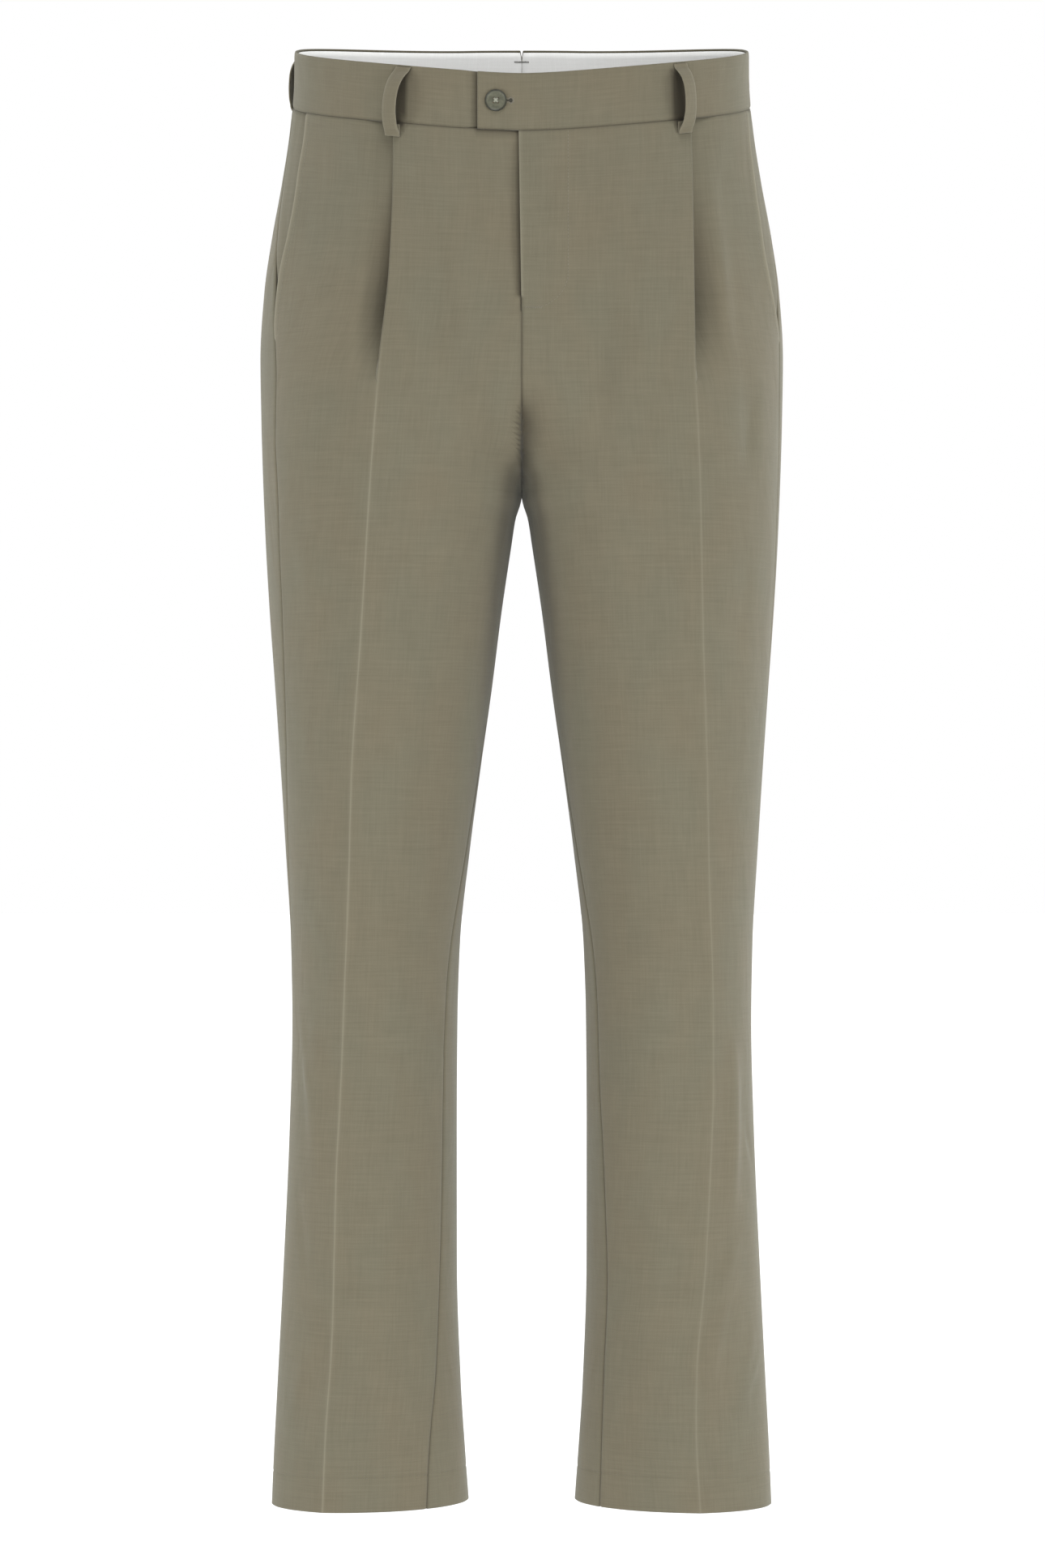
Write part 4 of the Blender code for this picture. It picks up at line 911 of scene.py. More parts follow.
def rise_seam(name, at_front, finish):
    """The seam allowances pressed open behind the rise, between the fly's foot and the crotch."""
    grid, uv, shade = [], [], []
    offsets = np.linspace(-7.0, 7.0, 15)
    walked = 0.0
    for level in levels_between(FLY_BOTTOM - 8, CROTCH_LEVEL, extra=range(int(CROTCH_LEVEL), 800, 2)):
        row = ring(LEFT, level)
        places = offsets if at_front else row.length + offsets
        grid.append(row.at(places, -2.3))
        if len(grid) > 1:
            walked += float(np.linalg.norm(grid[-1][7] - grid[-2][7]))
        uv.append(flat_row(offsets, -walked))
        # The allowances are painted fully in shade.
        shade.append(np.ones(len(places)))
    made = shell(name, LEFT, grid, uv, 0.3, 0.3, finish, shade=shade)
    put_on(made, None, uv)


def pocket_facing(side, finish):
    """The piece that shows behind the slant mouth and fills the corner up to the side seam."""
    grid, uv, shade = [], [], []
    for level in levels_between(SEAM_LEVEL - 0.15, POCKET_BOTTOM - 12, extra=(1029.0, 1028.0)):
        row = ring(side, level)
        mouth, seam = row.mouth, row.side_seam - SEAM_GAP / 2
        open_width = max(seam - mouth, POCKET_CLOSED)
        climb = POCKET_STEP * float(smooth_step(open_width / POCKET_WIDE * 2 - 0.3))
        under = np.linspace(mouth - POCKET_UNDER, mouth, 6)[:-1]
        shown = mouth + open_width * np.concatenate((np.linspace(0, 0.96, 12), (0.985, 1.0)))
        rise = climb * smooth_step((shown - mouth) / max(open_width, 1e-6))
        places = np.concatenate((under, shown))
        outs = np.concatenate((np.full(len(under), -POCKET_STEP), -POCKET_STEP + rise))
        dip = seam_dip(seam - places, 0.9) * min(open_width / 6.0, 1.0)
        grid.append(row.at(places, outs + dip + seam_rise(level)))
        uv.append(flat_row(places - seam, level))
        # Painted shade under the mouth's edge and along the waist seam.
        shade.append(0.8 * np.exp(-np.maximum(places - mouth, 0) / 4.5)
                     + EDGE_DARK * line_shade(SEAM_LEVEL - level, 1.0))
    panel("pocket_facing", side, grid, uv, CLOTH / 2, finish, None, shade)


def strip(name, node, side, levels, places, outs, out_half, in_half, finish,
          shade_of=None):
    """A piece that lies along the garment: places and outs are per row, one value a column."""
    grid, uv, shade = [], [], []
    for level in levels:
        row = ring(side, level)
        here = np.asarray(places(row), float)
        grid.append(row.at(here, outs(row, here)))
        uv.append(flat_row(here, level))
        shade.append(shade_of(row, here) if shade_of else np.zeros(len(here)))
    made = shell(name, side, grid, uv, out_half, in_half, finish, shade=shade)
    put_on(made, node, uv)


# ---- Waistband ----------------------------------------------------------------------------------
def band_end(row):
    """Each half of the waistband stops at the centre back, cut away by the notch at its top."""
    into_notch = max(row.level - (TOP_LEVEL - NOTCH_DEPTH), 0.0) / NOTCH_DEPTH
    return row.length - SEAM_GAP - (NOTCH_WIDTH / 2) * into_notch


def band_roll(level):
    """The band's long edges are folded, so its face rolls in at the top and at the seam."""
    at_top = -0.55 * math.exp(-(abs(TOP_LEVEL - level) / 0.9) ** 1.5)
    at_seam = -0.9 * math.exp(-(abs(level - SEAM_LEVEL - 0.1) / 1.1) ** 1.5)
    return at_top + at_seam


def waistband(side, finish, lining_finish):
    """Half a waistband and its lining: the left one ends in the tab, the right one carries on
    under it."""
    name = SIDE_NAMES[side]
    start = -TAB_LENGTH if side == LEFT else BAND_UNDER
    near_tab = TAB_LENGTH + np.array((-0.8, 0.0, 0.8, 1.8, 3.0, 4.6, 6.6))

    def places(row):
        end = band_end(row)
        return np.concatenate(((start, start + 0.5), np.linspace(start + 1.6, TAB_LENGTH - 2.5, 20),
                               near_tab, np.linspace(TAB_LENGTH + 9, end - 1.6, 120),
                               (end - 0.5, end)))

    def shade_of(row, here):
        # Painted shade behind the belt loops and along the waist seam.
        dark = loop_shadow(side, row, here) + 0.5 * line_shade(row.level - SEAM_LEVEL, 0.8)
        if side == RIGHT:
            # Painted shade under the tab.
            dark = dark + 0.75 * smooth_step((TAB_LENGTH + 5.5 - here) / 6.0)
        return dark

    def outs(row, here):
        soft = 0.25 * np.sin(here / 23.0 + row.level / 31.0) + 0.2 * np.sin(here / 61.0 + 1.0)
        roll = band_roll(row.level) + seam_dip(row.length - here, 0.8)
        if side == LEFT:
            lift = 0.5 * np.exp(-((here + 30.0) / 9.0) ** 2)
            return soft * smooth_step((here - 30) / 30) + roll + lift
        under = -TAB_STEP * (1 - smooth_step((here - TAB_LENGTH - 1.5) / 11.0))
        return soft * smooth_step((here - 44) / 30) + roll + under

    levels = levels_between(TOP_LEVEL, SEAM_LEVEL + 0.1, extra=(
        TOP_LEVEL - 0.4, TOP_LEVEL - 1.0, TOP_LEVEL - NOTCH_DEPTH, SEAM_LEVEL + 0.6,
        SEAM_LEVEL + 1.2, SEAM_LEVEL + 2.2))
    strip("waistband_" + name + "_cloth", "waistband_" + name, side, levels, places,
          outs, BAND_FACE, BAND_BACK, finish, shade_of)

    def lining_places(row):
        return np.linspace(LINING_START[side], band_end(row) - 0.3, 90)

    levels = levels_between(TOP_LEVEL - 1.6, SEAM_LEVEL + 0.4)
    strip("waistband_lining_" + name + "_cloth", "waistband_lining_" + name, side,
          levels, lining_places, lambda row, here: np.full(len(here), LINING_OUT),
          LINING_HALF, LINING_HALF, lining_finish)


# ---- Fly ----------------------------------------------------------------------------------------
def fly_pieces(cloth, tape):
    """Behind the left front: its facing, the zip, and the right front's shield behind both."""
    half = CLOTH / 2

    def even(first, last, count):
        return lambda row: np.linspace(first, last, count)

    def flat_at(value):
        return lambda row, here: np.full(len(here), value)

    def facing_places(row):
        low = max(FLY_BOTTOM + FLY_ROUND - row.level, 0.0) / FLY_ROUND
        width = (FLY_WIDTH - FLY_FACING_START) * math.sqrt(max(1 - low * low, 0.04))
        return FLY_FACING_START + width * np.linspace(0, 1, 7)

    top = SEAM_LEVEL - 0.3
    strip("fly_facing_cloth", "fly_facing", LEFT,
          levels_between(top, FLY_BOTTOM + 1), facing_places, flat_at(FACING_OUT), half, half, cloth)
    strip("fly_shield_cloth", "fly_shield", LEFT, levels_between(top, FLY_BOTTOM),
          even(-6, 37, 12), flat_at(SHIELD_OUT), half, half, cloth)
    strip("zip_tape", "zip", LEFT, levels_between(ZIP_TOP - ZIP_DROP, FLY_BOTTOM + ZIP_FOOT),
          even(0.5, 25, 8), flat_at(ZIP_OUT), half * 0.8, half * 0.8, tape)


# ---- Belt loops ---------------------------------------------------------------------------------
def belt_loop(loop, finish):
    """A folded strip sewn down under the waistband's top edge and again below the waist seam, its
    raw end turned under at the foot."""
    rise_of = curve_through([p[0] for p in LOOP_PATH], [p[1] for p in LOOP_PATH])
    on_band = BAND_FACE + GAP + LOOP_WALL / 2
    on_panel = CLOTH / 2 + GAP + LOOP_WALL / 2 + 1.0
    top, foot = loop_ends(loop)
    across = LOOP_WIDTH * np.array((-0.5, -0.47, -0.4, -0.25, 0, 0.25, 0.4, 0.47, 0.5))
    sag = np.array((-0.3, -0.05, 0.08, 0.1, 0.12, 0.1, 0.08, -0.05, -0.3))
    lean = 0.5 - across / LOOP_WIDTH
    grid, uv, wear = [], [], []
    shares = np.concatenate((np.linspace(0, 1, LOOP_ROWS), (1.0, 1.0, 0.97, 0.9, 0.84)))
    under = np.concatenate((np.zeros(LOOP_ROWS), (0.5, 0.95, 1.15, 1.2, 1.2)))
    drop = np.concatenate((np.zeros(LOOP_ROWS), (0.35, 0.2, 0.0, 0.0, 0.0)))
    walked = 0.0
    for k, share in enumerate(shares):
        level = top + (foot - top) * share - drop[k]
        row = ring(loop["side"], level)
        rest = on_band + (on_panel - on_band) * float(smooth_step((share - 0.78) / 0.06))
        middle, _ = loop_middle(row, loop)
        lift = (loop["stand"] + loop["tilt"] * lean) * float(rise_of(share)) * (under[k] == 0)
        grid.append(row.at(middle + across, rest + lift + sag - under[k]))
        if k:
            walked += float(np.linalg.norm(grid[-1][4] - grid[-2][4]))
        uv.append(flat_row(across, -walked))
        # Painted highlights along the loop's long edges.
        wear.append(0.35 * np.exp(-(LOOP_WIDTH / 2 - np.abs(across)) / 0.6))
    thin = np.where(under > 0, 0.3, LOOP_WALL / 2)[:, None]
    name = loop["name"]
    made = shell(name + "_cloth", loop["side"], grid, uv, thin, thin, finish, wear)
    put_on(made, name, uv)
    return np.array(grid)


# ---- Sewing -------------------------------------------------------------------------------------
def stitch_shape():
    """One stitch, modelled once: a small bead drawn out along X, one unit long and one thick."""
    bpy.ops.object.select_all(action="DESELECT")
    bpy.ops.mesh.primitive_uv_sphere_add(segments=6, ring_count=4, radius=0.5)
    bead = bpy.context.active_object
    edit("SELECT")
    bpy.ops.transform.rotate(value=math.pi / 2, orient_axis="Y", center_override=(0, 0, 0))
    done()
    points = np.array([v.co for v in bead.data.vertices])
    faces = [list(f.vertices) for f in bead.data.polygons]
    bpy.data.objects.remove(bead, do_unlink=True)
    return points, faces


STITCH = stitch_shape()


def sew(name, stitches, finish, thick=0.42):
    """Stitches as one joined mesh. Each is (start, end, outward normal), in world metres."""
    base, faces = STITCH
    points, every_face = [], []
    for start, end, normal in stitches:
        along = np.asarray(end) - np.asarray(start)
        length = np.linalg.norm(along)
        along = along / length
        side = np.cross(normal, along)
        side = side / np.linalg.norm(side)
        up = np.cross(along, side)
        middle = (np.asarray(start) + np.asarray(end)) / 2
        placed = (middle + np.outer(base[:, 0] * length, along)
                  + np.outer(base[:, 1] * thick * MM, side) + np.outer(base[:, 2] * thick * MM, up))
        every_face += [[i + len(points) * len(base) for i in f] for f in faces]
        points.append(placed)
    made = new_object(name, np.concatenate(points).tolist(), every_face)
    made.data.shade_smooth()
    made.data.materials.append(finish)
    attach(made, "root")


def on_cloth(side, level, s, out):
    """A point on the garment and its outward normal, in world metres."""
    row = ring(side, level)
    here, further = row.at(s, out)[0], row.at(s, out + 1.0)[0]
    point = to_world(side, here)
    normal = to_world(side, further) - point
    return point, normal / np.linalg.norm(normal)


def run_stitches(route, pitch=2.6, length=1.9):
    """Stitches along a route of (point, normal) pairs."""
    points = np.array([p for p, _ in route])
    normals = np.array([n for _, n in route])
    walked = np.concatenate(([0.0], np.cumsum(np.linalg.norm(np.diff(points, axis=0), axis=1))))
    made = []
    for k in range(int(walked[-1] / (pitch * MM))):
        ends = [k * pitch * MM, (k * pitch + length) * MM]
        a, b = (np.array([np.interp(t, walked, points[:, i]) for i in range(3)]) for t in ends)
        n = np.array([np.interp(ends[0], walked, normals[:, i]) for i in range(3)])
        made.append((a, b, n))
    return made


def bar_tack(side, level, s, out, width, turns=9):
    """A dense level bar of short upright stitches."""
    made = []
    for k in range(turns):
        t = (k / (turns - 1) - 0.5) * width
        a, n = on_cloth(side, level - TACK_HEIGHT / 2, s + t, out)
        b, _ = on_cloth(side, level + TACK_HEIGHT / 2, s + t + width / turns / 2, out)
        made.append((a, b, n))
    return made


def sewing(thread, dark_thread):
    """All the stitches that show."""
    face = CLOTH / 2 + 0.02
    fly_line = [(1028 - 4 * k, J_PLACE) for k in range(26)]
    fly_line += [(J_TURN - J_DEPTH * math.sin(a), J_FOOT + (J_PLACE - J_FOOT) * math.cos(a))
                 for a in np.linspace(0, math.pi / 2, 14)]
    stitches = run_stitches([on_cloth(LEFT, level, s, face) for level, s in fly_line])
    for side in (RIGHT, LEFT):
        route = []
        for level in np.linspace(1027, POCKET_BOTTOM + 4, 60):
            lifted = face + mouth_gape(level) * math.exp(-6.0 / GAPE_REACH)
            route.append(on_cloth(side, level, ring(side, level).mouth - 6.0, lifted))
        stitches += run_stitches(route)
        for level, back, out in ((TACK_LEVEL, 4.5, face + 0.2), (POCKET_BOTTOM + 3, 3.5, face)):
            stitches += bar_tack(side, level, ring(side, level).mouth - back, out, 6.5)
    stitches += bar_tack(LEFT, FLY_TACK_LEVEL, FLY_TACK_PLACE, face, 11.5, turns=13)
    sew("cloth_stitches", stitches, thread, 0.36)
    picks = []
    for side in (RIGHT, LEFT):
        for s in np.arange(3, ring(side, HEM_DEPTH + 1).length, PICK_PITCH):
            a, n = on_cloth(side, HEM_DEPTH + 1.0, s, face - 0.25)
            b, _ = on_cloth(side, HEM_DEPTH + 1.4, s + 1.1, face - 0.25)
            picks.append((a, b, n))
    sew("hem_stitches", picks, dark_thread, 0.3)
    notch_foot = TOP_LEVEL - NOTCH_DEPTH
    notch = bar_tack(LEFT, notch_foot - 1.0, ring(LEFT, notch_foot).length, LINING_OUT - 0.55, 10.5,
                     turns=15)
    sew("notch_tack", notch, dark_thread, 0.5)


def loop_stitches(grids, thread):
    """Two rows of stitches near the edges of each belt loop, and bars at its ends."""
    stitches, rows = [], slice(1, LOOP_ROWS - 1)
    for side, grid in grids:
        for column in (2, 6):
            line = grid[rows, column]
            ahead = np.gradient(line, axis=0)
            normal = np.cross(ahead, grid[rows, 6] - grid[rows, 2]) * -1.0
            normal /= np.linalg.norm(normal, axis=1)[:, None]
            outward = line + normal * (LOOP_WALL / 2 + 0.02)
            route = list(zip(to_world(side, outward), normal * np.array((side, 1, 1))))
            stitches += run_stitches(route, 2.3, 1.7)
        for k in (3, LOOP_ROWS - 3):
            a, b = grid[k, 1], grid[k, 7]
            up = grid[k - 1, 4] - grid[k + 1, 4]
            normal = np.cross(b - a, up)
            normal /= np.linalg.norm(normal)
            for t in np.linspace(0.08, 0.92, 12):
                low = a + (b - a) * t + normal * (LOOP_WALL / 2 + 0.03)
                high = low + up / np.linalg.norm(up) * 1.5 + (b - a) * 0.03
                stitches.append((*to_world(side, np.array([low, high])),
                                 normal * np.array((side, 1, 1))))
    sew("belt_loop_stitches", stitches, thread, 0.34)


# ---- Button and buttonhole ----------------------------------------------------------------------
def axes_at(side, level, s, out):
    """A seat on the garment and the directions across, up and out of it."""
    seat, outward = on_cloth(side, level, s, out)
    ahead, _ = on_cloth(side, level + 1, s, out)
    up = (ahead - seat) / np.linalg.norm(ahead - seat)
    return seat, np.cross(up, outward), up, outward


def button_axes():
    """Seat, across, up and outward directions of the button on the tab."""
    seat, across, up, out = axes_at(RIGHT, BUTTON_LEVEL, BUTTON_PLACE, BAND_FACE + GAP)
    return seat, across / np.linalg.norm(across), up, out


def lay_on(thing, seat, across, up, out):
    """Moves a piece modelled flat on XY, +Y up, to its seat."""
    for v in thing.data.vertices:
        p = np.array(v.co)
        v.co = Vector(seat + across * p[0] + up * p[1] + out * p[2])


def select_faces(thing, test):
    """In edit mode, select only the faces whose middle and normal pass the test."""
    bpy.ops.mesh.select_all(action="DESELECT")
    done()
    for face in thing.data.polygons:
        face.select = test(face.center, face.normal)
    edit()
    bpy.ops.mesh.select_mode(type="FACE")


def button(finish, rim_shade_finish, thread):
    """A dished button with a raised rim and four drilled holes, sewn on with a cross of thread."""
    r, h = BUTTON_RADIUS * MM, BUTTON_HEIGHT * MM
    bpy.ops.object.select_all(action="DESELECT")
    bpy.ops.mesh.primitive_cylinder_add(vertices=64, radius=r - 0.6 * MM, depth=h,
                                        location=(0, 0, h / 2))
    made = bpy.context.active_object
    made.name = "button_disc"
    edit()
    select_faces(made, lambda c, n: n.z > 0.9)
    for wide, deep in ((1.7, 0.9), (1.2, 0.25)):
        bpy.ops.mesh.inset(thickness=wide * MM)
        bpy.ops.transform.translate(value=(0, 0, -deep * MM))
    bpy.ops.mesh.select_all(action="DESELECT")
    bpy.ops.mesh.select_mode(type="EDGE")
    done()
    corners = made.data.vertices
    for edge in made.data.edges:
        ends = [corners[v].co for v in edge.vertices]
        outer = all(math.hypot(p.x, p.y) > r - 2.6 * MM for p in ends)
        edge.select = outer and abs(ends[0].z - ends[1].z) < 1e-6
    edit()
    bpy.ops.mesh.bevel(offset=0.55 * MM, segments=4, affect="EDGES")
    done()
    half = BUTTON_HOLE_SPACE * MM / 2
    for x in (-1, 1):
        for y in (-1, 1):
            bpy.ops.object.select_all(action="DESELECT")
            bpy.ops.mesh.primitive_cylinder_add(vertices=20, radius=BUTTON_HOLE * MM, depth=3 * h,
                                                location=(x * half, y * half, h / 2))
            drill = bpy.context.active_object
            cut = made.modifiers.new("hole", "BOOLEAN")
            cut.operation = "DIFFERENCE"
            cut.object = drill
            bpy.context.view_layer.objects.active = made
            bpy.ops.object.modifier_apply(modifier="hole")
            bpy.data.objects.remove(drill, do_unlink=True)
    made.data.materials.append(finish)
    made.data.materials.append(rim_shade_finish)
    # The outer rim takes a darker copy of the button's finish: painted shade on the rim.
    for face in made.data.polygons:
        face.material_index = int(math.hypot(face.center.x, face.center.y) > r - 1.7 * MM)
    seat, across, up, out = button_axes()
    lay_on(made, seat, across, up, out)
    bpy.ops.object.select_all(action="DESELECT")
    made.location = (0, 0, 0)
    made.select_set(True)
    bpy.context.view_layer.objects.active = made
    edit("SELECT")
    bpy.ops.mesh.normals_make_consistent(inside=False)
    done()
    bpy.ops.object.shade_smooth_by_angle(angle=math.radians(35))
    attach(made, "root")
    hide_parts("button")
    level = h - 1.0 * MM
    stitches = []
    for k in range(4):
        shift = (k - 1.5) * 0.22 * MM
        for sign in (-1, 1):
            a = seat + across * (-half + shift) + up * (-half * sign - shift * sign) + out * level
            b = seat + across * (half + shift) + up * (half * sign - shift * sign) + out * level
            lifted = out * (0.15 + 0.05 * k) * MM
            stitches.append((a + lifted, b + lifted, out))
    sew("button_thread", stitches, thread, 0.4)


def buttonhole(thread, slit_shade):
    """A keyhole buttonhole in the tab: its worked edge shows beside the button."""
    seat, across, up, out = button_axes()
    lift = -0.25 * MM
    start, end, eye = -9.0 * MM, 11.0 * MM, 1.5 * MM
    outline = [(start + (end - start - eye) * t, 0.55 * MM) for t in np.linspace(0, 1, 26)]
    outline += [(end + eye * math.sin(a) * 0.9, eye * math.cos(a))
                for a in np.linspace(-0.7, math.pi + 0.7, 16)]
    outline += [(start + (end - start - eye) * t, -0.55 * MM) for t in np.linspace(1, 0, 26)]
    stitches = []
    for x, y in outline:
        inward = np.array((0.0, -np.sign(y))) if x < end - eye else np.array((end - x, -y))
        inward = inward / (np.linalg.norm(inward) + 1e-9)
        a = seat + across * x + up * y + out * lift
        b = a - (across * inward[0] + up * inward[1]) * 1.3 * MM
        stitches.append((a, b, out))
    sew("buttonhole_stitches", stitches, thread, 0.5)
    # A near-black sheet in the slit: painted shade where the cut opens.
    points = [seat + across * x + up * y + out * (lift - 0.02 * MM) for x, y in outline]
    made = new_object("buttonhole_slit", [list(p) for p in points], [list(range(len(points)))])
    made.data.materials.append(slit_shade)
    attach(made, "root")


# ---- Zip ----------------------------------------------------------------------------------------
def zip_teeth(metal):
    """Two rows of teeth, closed in each other, on the outer face of the tape."""
    teeth = []
    middle = (CHAIN_START + CHAIN_END) / 2
    for k in range(int((ZIP_TOP - ZIP_DROP - FLY_BOTTOM - ZIP_FOOT) / CHAIN_PITCH)):
        level = ZIP_TOP - ZIP_DROP - 0.5 - k * CHAIN_PITCH
        for first, last, drop in ((CHAIN_START + 0.2, middle + 0.5, 0.0),
                                  (middle - 0.5, CHAIN_END - 0.2, CHAIN_PITCH / 2)):
            a, n = on_cloth(LEFT, level - drop, first, ZIP_OUT + 0.8)
            b, _ = on_cloth(LEFT, level - drop, last, ZIP_OUT + 0.8)
            teeth.append((a, b, n))
    sew("zip_teeth", teeth, metal, 0.8)


def zip_block(name, size, taper, metal):
    """A small cast block with rounded edges, drawn in towards its lower end."""
    bpy.ops.object.select_all(action="DESELECT")
    bpy.ops.mesh.primitive_cube_add(size=1.0, location=(0, 0, 0))
    made = bpy.context.active_object
    made.name = name
    made.scale = [v * MM for v in size]
    bpy.ops.object.transform_apply(location=False, rotation=False, scale=True)
    edit()
    select_faces(made, lambda c, n: n.y < -0.9)
    bpy.ops.transform.resize(value=(taper, 1, 1))
    select_faces(made, lambda c, n: n.z > 0.9)
    bpy.ops.mesh.inset(thickness=0.12 * size[0] * MM)
    bpy.ops.mesh.select_all(action="SELECT")
    bpy.ops.mesh.bevel(offset=0.12 * MM, segments=2, affect="EDGES")
    done()
    bpy.ops.object.shade_smooth_by_angle(angle=math.radians(40))
    made.data.materials.append(metal)
    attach(made, "root")
    return made


def zip_slider(metal):
    """The closed slider at the top of the zip, with its pull hanging down on it."""
    body = zip_block("slider_body", (6.0, 10.2, 1.0), 0.72, metal)
    middle, level = (CHAIN_START + CHAIN_END) / 2, ZIP_TOP - 6.3
    lay_on(body, *axes_at(LEFT, level, middle, SLIDER_OUT))
    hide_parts("zip_slider")
    pull = zip_block("slider_pull", (3.0, 12.0, 0.3), 1.25, metal)
    lay_on(pull, *axes_at(LEFT, level - 8.0, middle, SLIDER_OUT + 0.75))


# ---- Finishes -----------------------------------------------------------------------------------
def new_finish(name, colour, roughness):
    """A material with its shader's own numbers set."""
    made = bpy.data.materials.new(name)
    made.use_nodes = True
    shader = made.node_tree.nodes["Principled BSDF"]
    shader.inputs["Base Color"].default_value = (*colour, 1.0)
    shader.inputs["Roughness"].default_value = roughness
    return made, made.node_tree, shader


def add(tree, kind, **values):
    """A node with its settings and unlinked inputs."""
    node = tree.nodes.new(kind)
    for key, value in values.items():
        if key.startswith("in_"):
            wanted = key[3:].replace("_", " ")
            node.inputs[int(wanted) if wanted.isdigit() else wanted].default_value = value
        else:
            setattr(node, key, value)
    return node


def feed(tree, socket, value):
    """Links a socket to another, or gives it a number, a vector or a colour."""
    if isinstance(value, bpy.types.NodeSocket):
        tree.links.new(value, socket)
    elif isinstance(value, tuple) and len(socket.default_value) == 4:
        socket.default_value = (*value, 1.0)
    else:
        socket.default_value = value


def maths(tree, operation, *values, kind="ShaderNodeMath", **settings):
    """A sum of numbers and sockets."""
    node = add(tree, kind, operation=operation, **settings)
    for socket, value in zip(node.inputs, values):
        feed(tree, socket, value)
    return node.outputs[0]


def noise_of(tree, vector, **values):
    """Noise at a place."""
    node = add(tree, "ShaderNodeTexNoise", **values)
    tree.links.new(vector, node.inputs["Vector"])
    return node.outputs["Fac"]


def object_noise(tree, scale, **values):
    """Noise that stays with the piece."""
    place = add(tree, "ShaderNodeTexCoord").outputs["Object"]
    return noise_of(tree, place, in_Scale=scale, **values)


def ramp_of(tree, value, first, last, low=0.0, high=1.0):
    """One colour that fades into another between two values."""
    ramp = add(tree, "ShaderNodeValToRGB")
    for element, colour, at in zip(ramp.color_ramp.elements, (first, last), (low, high)):
        element.position, element.color = at, (*colour, 1.0)
    tree.links.new(value, ramp.inputs[0])
    return ramp.outputs[0]


def bump(tree, height, strength, distance, under=None):
    """A normal raised by a height, over another normal if there is one."""
    node = add(tree, "ShaderNodeBump", in_Strength=strength, in_Distance=distance)
    tree.links.new(height, node.inputs["Height"])
    if under is not None:
        tree.links.new(under, node.inputs["Normal"])
    return node.outputs[0]


def new_group(name, sockets):
    """An empty node group, its inputs and its outputs. Sockets are (name, way, kind)."""
    group = bpy.data.node_groups.new(name, "ShaderNodeTree")
    for label, way, kind in sockets:
        group.interface.new_socket(label, in_out=way, socket_type="NodeSocket" + kind)
    return (group, group.nodes.new("NodeGroupInput").outputs,
            group.nodes.new("NodeGroupOutput").inputs)


# Yarns by name: how fast they change across and along the cloth, a metre, the detail and the seed of
# their noise, and their weights in the cloth's shade and in its height.
YARN_COLUMNS = ("across", "along", "detail", "seed", "shade", "height")
YARNS = {
    "warp": (1150, 42, 2.0, 3.0, 0.34, 0.5),
    "weft": (38, 1250, 2.0, 17.0, 0.42, 0.55),
    "coarse_weft": (14, 480, 1.0, 41.0, 0.18, 0.35),
    "coarse_warp": (420, 12, 1.0, 71.0, 0.12, 0.0),
    "nap": (2600, 2600, 2.0, 9.0, 0.24, 0.5),
    "cloud": (19, 10, 2.0, 29.0, 0.0, 0.0),
    "mottle": (90, 45, 2.0, 53.0, 0.2, 0.0),
}
WEAVE_PITCHES = (0.00104, 0.00096)
WEAVE_SHADE, WEAVE_HEIGHT = 0.035, 0.22


def linen_group():
    """Uneven yarns both ways, a plain weave and broad soft clouds, from the flat cloth in metres."""
    group, given, wanted = new_group("linen_yarns", (
        ("Flat Cloth", "INPUT", "Vector"), ("Slubs", "INPUT", "Float"),
        ("Shade", "OUTPUT", "Float"), ("Clouds", "OUTPUT", "Float"), ("Height", "OUTPUT", "Float")))
    streaks, yarns = {}, named_rows(("name", *YARN_COLUMNS), [(n, *row) for n, row in YARNS.items()])
    for yarn in yarns:
        stretched = maths(group, "MULTIPLY", given[0], (yarn["across"], yarn["along"], 1.0),
                          kind="ShaderNodeVectorMath")
        seed = yarn["seed"]
        moved = maths(group, "ADD", stretched, (seed, seed * 0.37, seed * 1.9),
                      kind="ShaderNodeVectorMath")
        streaks[yarn["name"]] = noise_of(group, moved, in_Scale=1.0, in_Detail=yarn["detail"],
                                         in_Roughness=0.55)

    def weighed(column):
        """Sum of (value - 0.5) times each weight, about 0.5."""
        used = [yarn for yarn in yarns if yarn[column]]
        total = 0.5 * (1 - sum(yarn[column] for yarn in used))
        for yarn in used:
            total = maths(group, "MULTIPLY_ADD", streaks[yarn["name"]], yarn[column], total)
        return total

    def sine(axis):
        """One set of yarns of the plain weave."""
        split = add(group, "ShaderNodeSeparateXYZ")
        group.links.new(given[0], split.inputs[0])
        turns = 2 * math.pi / WEAVE_PITCHES[axis]
        return maths(group, "SINE", maths(group, "MULTIPLY", split.outputs[axis], turns))

    weave = maths(group, "MULTIPLY", sine(0), sine(1))
    centred = maths(group, "SUBTRACT", weighed("shade"), 0.5)
    slubbed = maths(group, "MULTIPLY_ADD", centred, given[1], 0.5)
    feed(group, wanted["Shade"], maths(group, "MULTIPLY_ADD", weave, WEAVE_SHADE, slubbed))
    feed(group, wanted["Clouds"], streaks["cloud"])
    feed(group, wanted["Height"],
         maths(group, "MULTIPLY_ADD", weave, WEAVE_HEIGHT, weighed("height")))
    return group


def soft_creases_group():
    """Faint rumples a few centimetres long, for the cloth's height."""
    group, given, wanted = new_group("soft_rumples", (
        ("Flat Cloth", "INPUT", "Vector"), ("Height", "OUTPUT", "Float")))
    stretched = maths(group, "MULTIPLY", given[0], (26.0, 11.0, 1.0), kind="ShaderNodeVectorMath")
    feed(group, wanted["Height"], noise_of(group, stretched, in_Scale=1.0, in_Detail=3.0,
                                           in_Roughness=0.5, in_Distortion=0.6))
    return group


